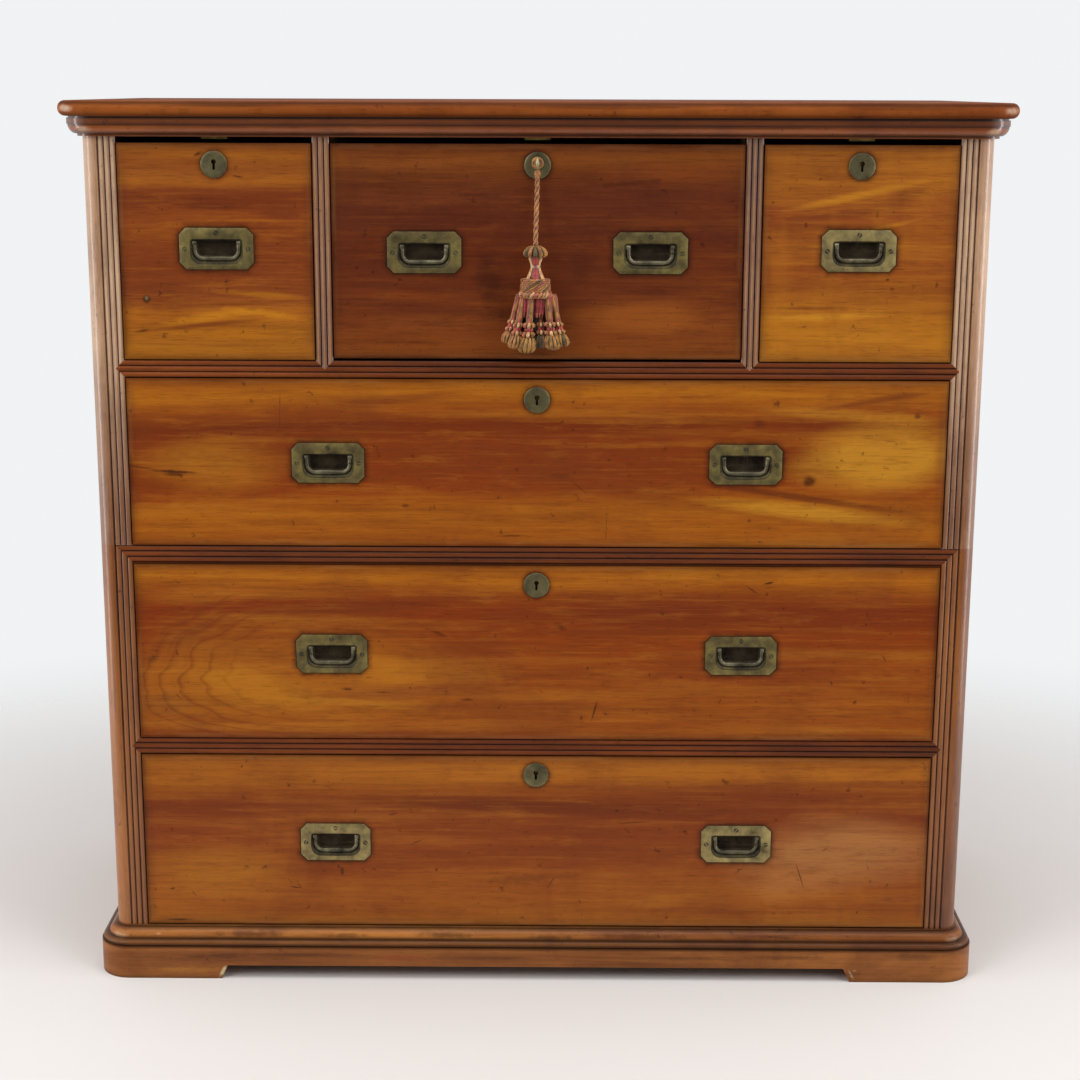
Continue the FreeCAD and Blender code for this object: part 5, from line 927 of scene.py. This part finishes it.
def strandReach(turn):
    # how far a three-strand cord's surface lies from its centre
    share = (turn + math.pi / cord["strands"]) % (2 * math.pi / cord["strands"]) - math.pi / cord["strands"]
    side = cord["offset"] * math.sin(share)
    return (cord["offset"] * math.cos(share) + math.sqrt(cord["strand"] ** 2 - side ** 2)) / 1000


def addCordRing(mesh, centre, right, up, lay, scale=1.0):
    # a section through a cord whose strands have turned by the lay
    ring = bmesh.ops.create_circle(mesh, segments=30, radius=1.0)["verts"]
    for vert in ring:
        turn = math.atan2(vert.co.y, vert.co.x)
        reach = strandReach(turn - lay) * scale
        vert.co = centre + right * reach * math.cos(turn) + up * reach * math.sin(turn)
    return edgesOf(ring)


def layCord(mesh, points):
    # twisted strands along a line of points; their turn follows the length laid so far
    spans = [(after - before).length for before, after in zip(points, points[1:])]
    along = [sum(spans[:count]) for count in range(len(points))]
    facing = [(points[min(count + 1, len(spans))] - points[max(count - 1, 0)]).to_track_quat("Z", "Y").to_matrix()
              for count in range(len(points))]
    perMetre = 2 * math.pi * 1000 / cord["lead"]
    loops = [addCordRing(mesh, point, turned.col[0], turned.col[1], perMetre * reach)
             for point, turned, reach in zip(points, facing, along)]
    skin(mesh, loops, True, True)
    for face in mesh.faces:  # the grooves between strands are painted darker: painted shade
        middle = face.calc_center_median()
        count = min(range(len(spans)), key=lambda i: (points[i] - middle).length_squared)
        offset = facing[count].inverted() @ (middle - points[count])
        turn = math.atan2(offset.y, offset.x) - perMetre * (along[count] + offset.z)
        share = (turn / (2 * math.pi) * cord["strands"]) % 1.0
        face.material_index = brown if 0.3 < share < 0.7 else amber


route = bpy.data.curves.new("tassel_cord_route", "CURVE")
route.dimensions = "3D"
route.resolution_u = cord["pieces"]
spline = route.splines.new("NURBS")
spline.points.add(len(cord["path"]) - 1)
for point, place in zip(spline.points, cord["path"]):
    point.co = (*place, 1)
spline.order_u = 3
spline.use_endpoint_u = True
guide = bpy.data.objects.new("tassel_cord_route", route)
line = [vert.co.copy() for vert in bpy.data.meshes.new_from_object(guide).vertices]
bpy.data.objects.remove(guide)
mesh = bmesh.new()
layCord(mesh, line)
cordPiece = finish(mesh, "twisted_tassel_cord", threads, "hanging_tassel", **silk)
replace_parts(cordPiece, "tassel_cord")
mesh = bmesh.new()
bmesh.ops.create_uvsphere(mesh, u_segments=24, v_segments=14, radius=cord["knot"])
bmesh.ops.scale(mesh, vec=cord["knotShape"], verts=mesh.verts)
shift(mesh, *cord["path"][0])
knot = finish(mesh, "cord_knot", threads[amber], "hanging_tassel", **silk)
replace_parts(knot, "tassel_cord")

mesh = bmesh.new()
eyeCentre = Vector((key["x"], cord["path"][0][1], key["z"]))
loops = []
for step in range(cord["eyeSteps"]):  # the loop of cord round the key's shank
    turn = 2 * math.pi * step / cord["eyeSteps"]
    outward = Vector((math.cos(turn), 0, math.sin(turn)))
    loops.append(addCordRing(mesh, eyeCentre + outward * cord["eye"], outward, Vector((0, 1, 0)), turn,
                             cord["thinner"]))
for first, second in zip(loops, loops[1:] + loops[:1]):
    bmesh.ops.bridge_loops(mesh, edges=first + second)
bmesh.ops.recalc_face_normals(mesh, faces=mesh.faces)
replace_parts(finish(mesh, "cord_eye_loop", threads[amber], "fall", **silk), "cord_eye")
print("key and tassel made")

# a paper sweep: the floor fades into a world that is bright behind and beside the chest and dimmer in front of it
studio = {"floor": "d6d2cf", "floorSize": 8, "rough": 0.8, "fade": (0.75, 1.75), "stretch": (0.9, 1.15, 0),
          "front": 0.2, "back": 0.8, "side": 1.5, "paper": 0.905, "white": (0.97, 0.985, 1.0, 1),
          "deep": (-0.6, 0.7), "wide": (0.55, 0.95)}  # where the world turns from front to back, and to the side
mesh = bmesh.new()
bmesh.ops.create_grid(mesh, x_segments=1, y_segments=1, size=studio["floorSize"])
floorData = bpy.data.meshes.new("floor")
mesh.to_mesh(floorData)
mesh.free()
floor = bpy.data.objects.new("floor", floorData)
bpy.context.collection.objects.link(floor)
paper, shader, add = newMaterial("studio_floor")
setShader(shader, {"Base Color": toLinear(studio["floor"]), "Roughness": studio["rough"]})
away = add("VectorMath LENGTH", add("VectorMath MULTIPLY", add("TexCoord").outputs["Object"], studio["stretch"]))
faded = add("MapRange", away, *studio["fade"], interpolation_type="SMOOTHSTEP")
clearing = add("MixShader", faded, shader, add("BsdfTransparent"))
feed(paper.node_tree.nodes["Material Output"].inputs["Surface"], clearing)
floorData.materials.append(paper)

world = bpy.data.worlds.new("studio")
bpy.context.scene.world = world
world.use_nodes = True
add = partial(addNode, world.node_tree)
toward = add("SeparateXYZ", add("TexCoord").outputs["Generated"]).outputs
behind = add("MapRange", toward["Y"], *studio["deep"], studio["front"], studio["back"])
beside = add("MapRange", add("Math ABSOLUTE", toward["X"]), *studio["wide"], 0.0, studio["side"])
level = add("Mix", add("LightPath"), add("Math MAXIMUM", behind, beside), studio["paper"], data_type="FLOAT")
setShader(world.node_tree.nodes["Background"], {"Color": studio["white"], "Strength": level})

lamps = (  # place, aim, size, watts
    ("left_softbox", (-2.6, -2.6, 2.6), (0, 0, 0.7), (1.6, 1.6), 49),
    ("right_softbox", (2.6, -2.4, 2.4), (0, 0, 0.7), (1.6, 1.6), 41),
    ("overhead", (0, -0.8, 3.2), (0, 0, 0.5), (2.5, 2.0), 50),
    ("left_strip", (-2.3, -0.55, 1.0), (0, -0.2, 0.8), (0.35, 2.4), 17),
    ("right_strip", (2.3, -0.5, 1.0), (0, -0.2, 0.8), (0.35, 2.4), 20),
)
for name, place, aim, size, watts in lamps:
    lamp = bpy.data.lights.new(name, "AREA")
    lamp.shape = "RECTANGLE"
    lamp.size, lamp.size_y = size
    lamp.energy = watts
    holder = bpy.data.objects.new(name, lamp)
    facing = (Vector(place) - Vector(aim)).to_track_quat("Z", "Y").to_matrix().to_4x4()
    holder.matrix_world = Matrix.Translation(place) @ facing
    bpy.context.collection.objects.link(holder)
bpy.context.scene.view_settings.view_transform = "Standard"
print("studio lit")
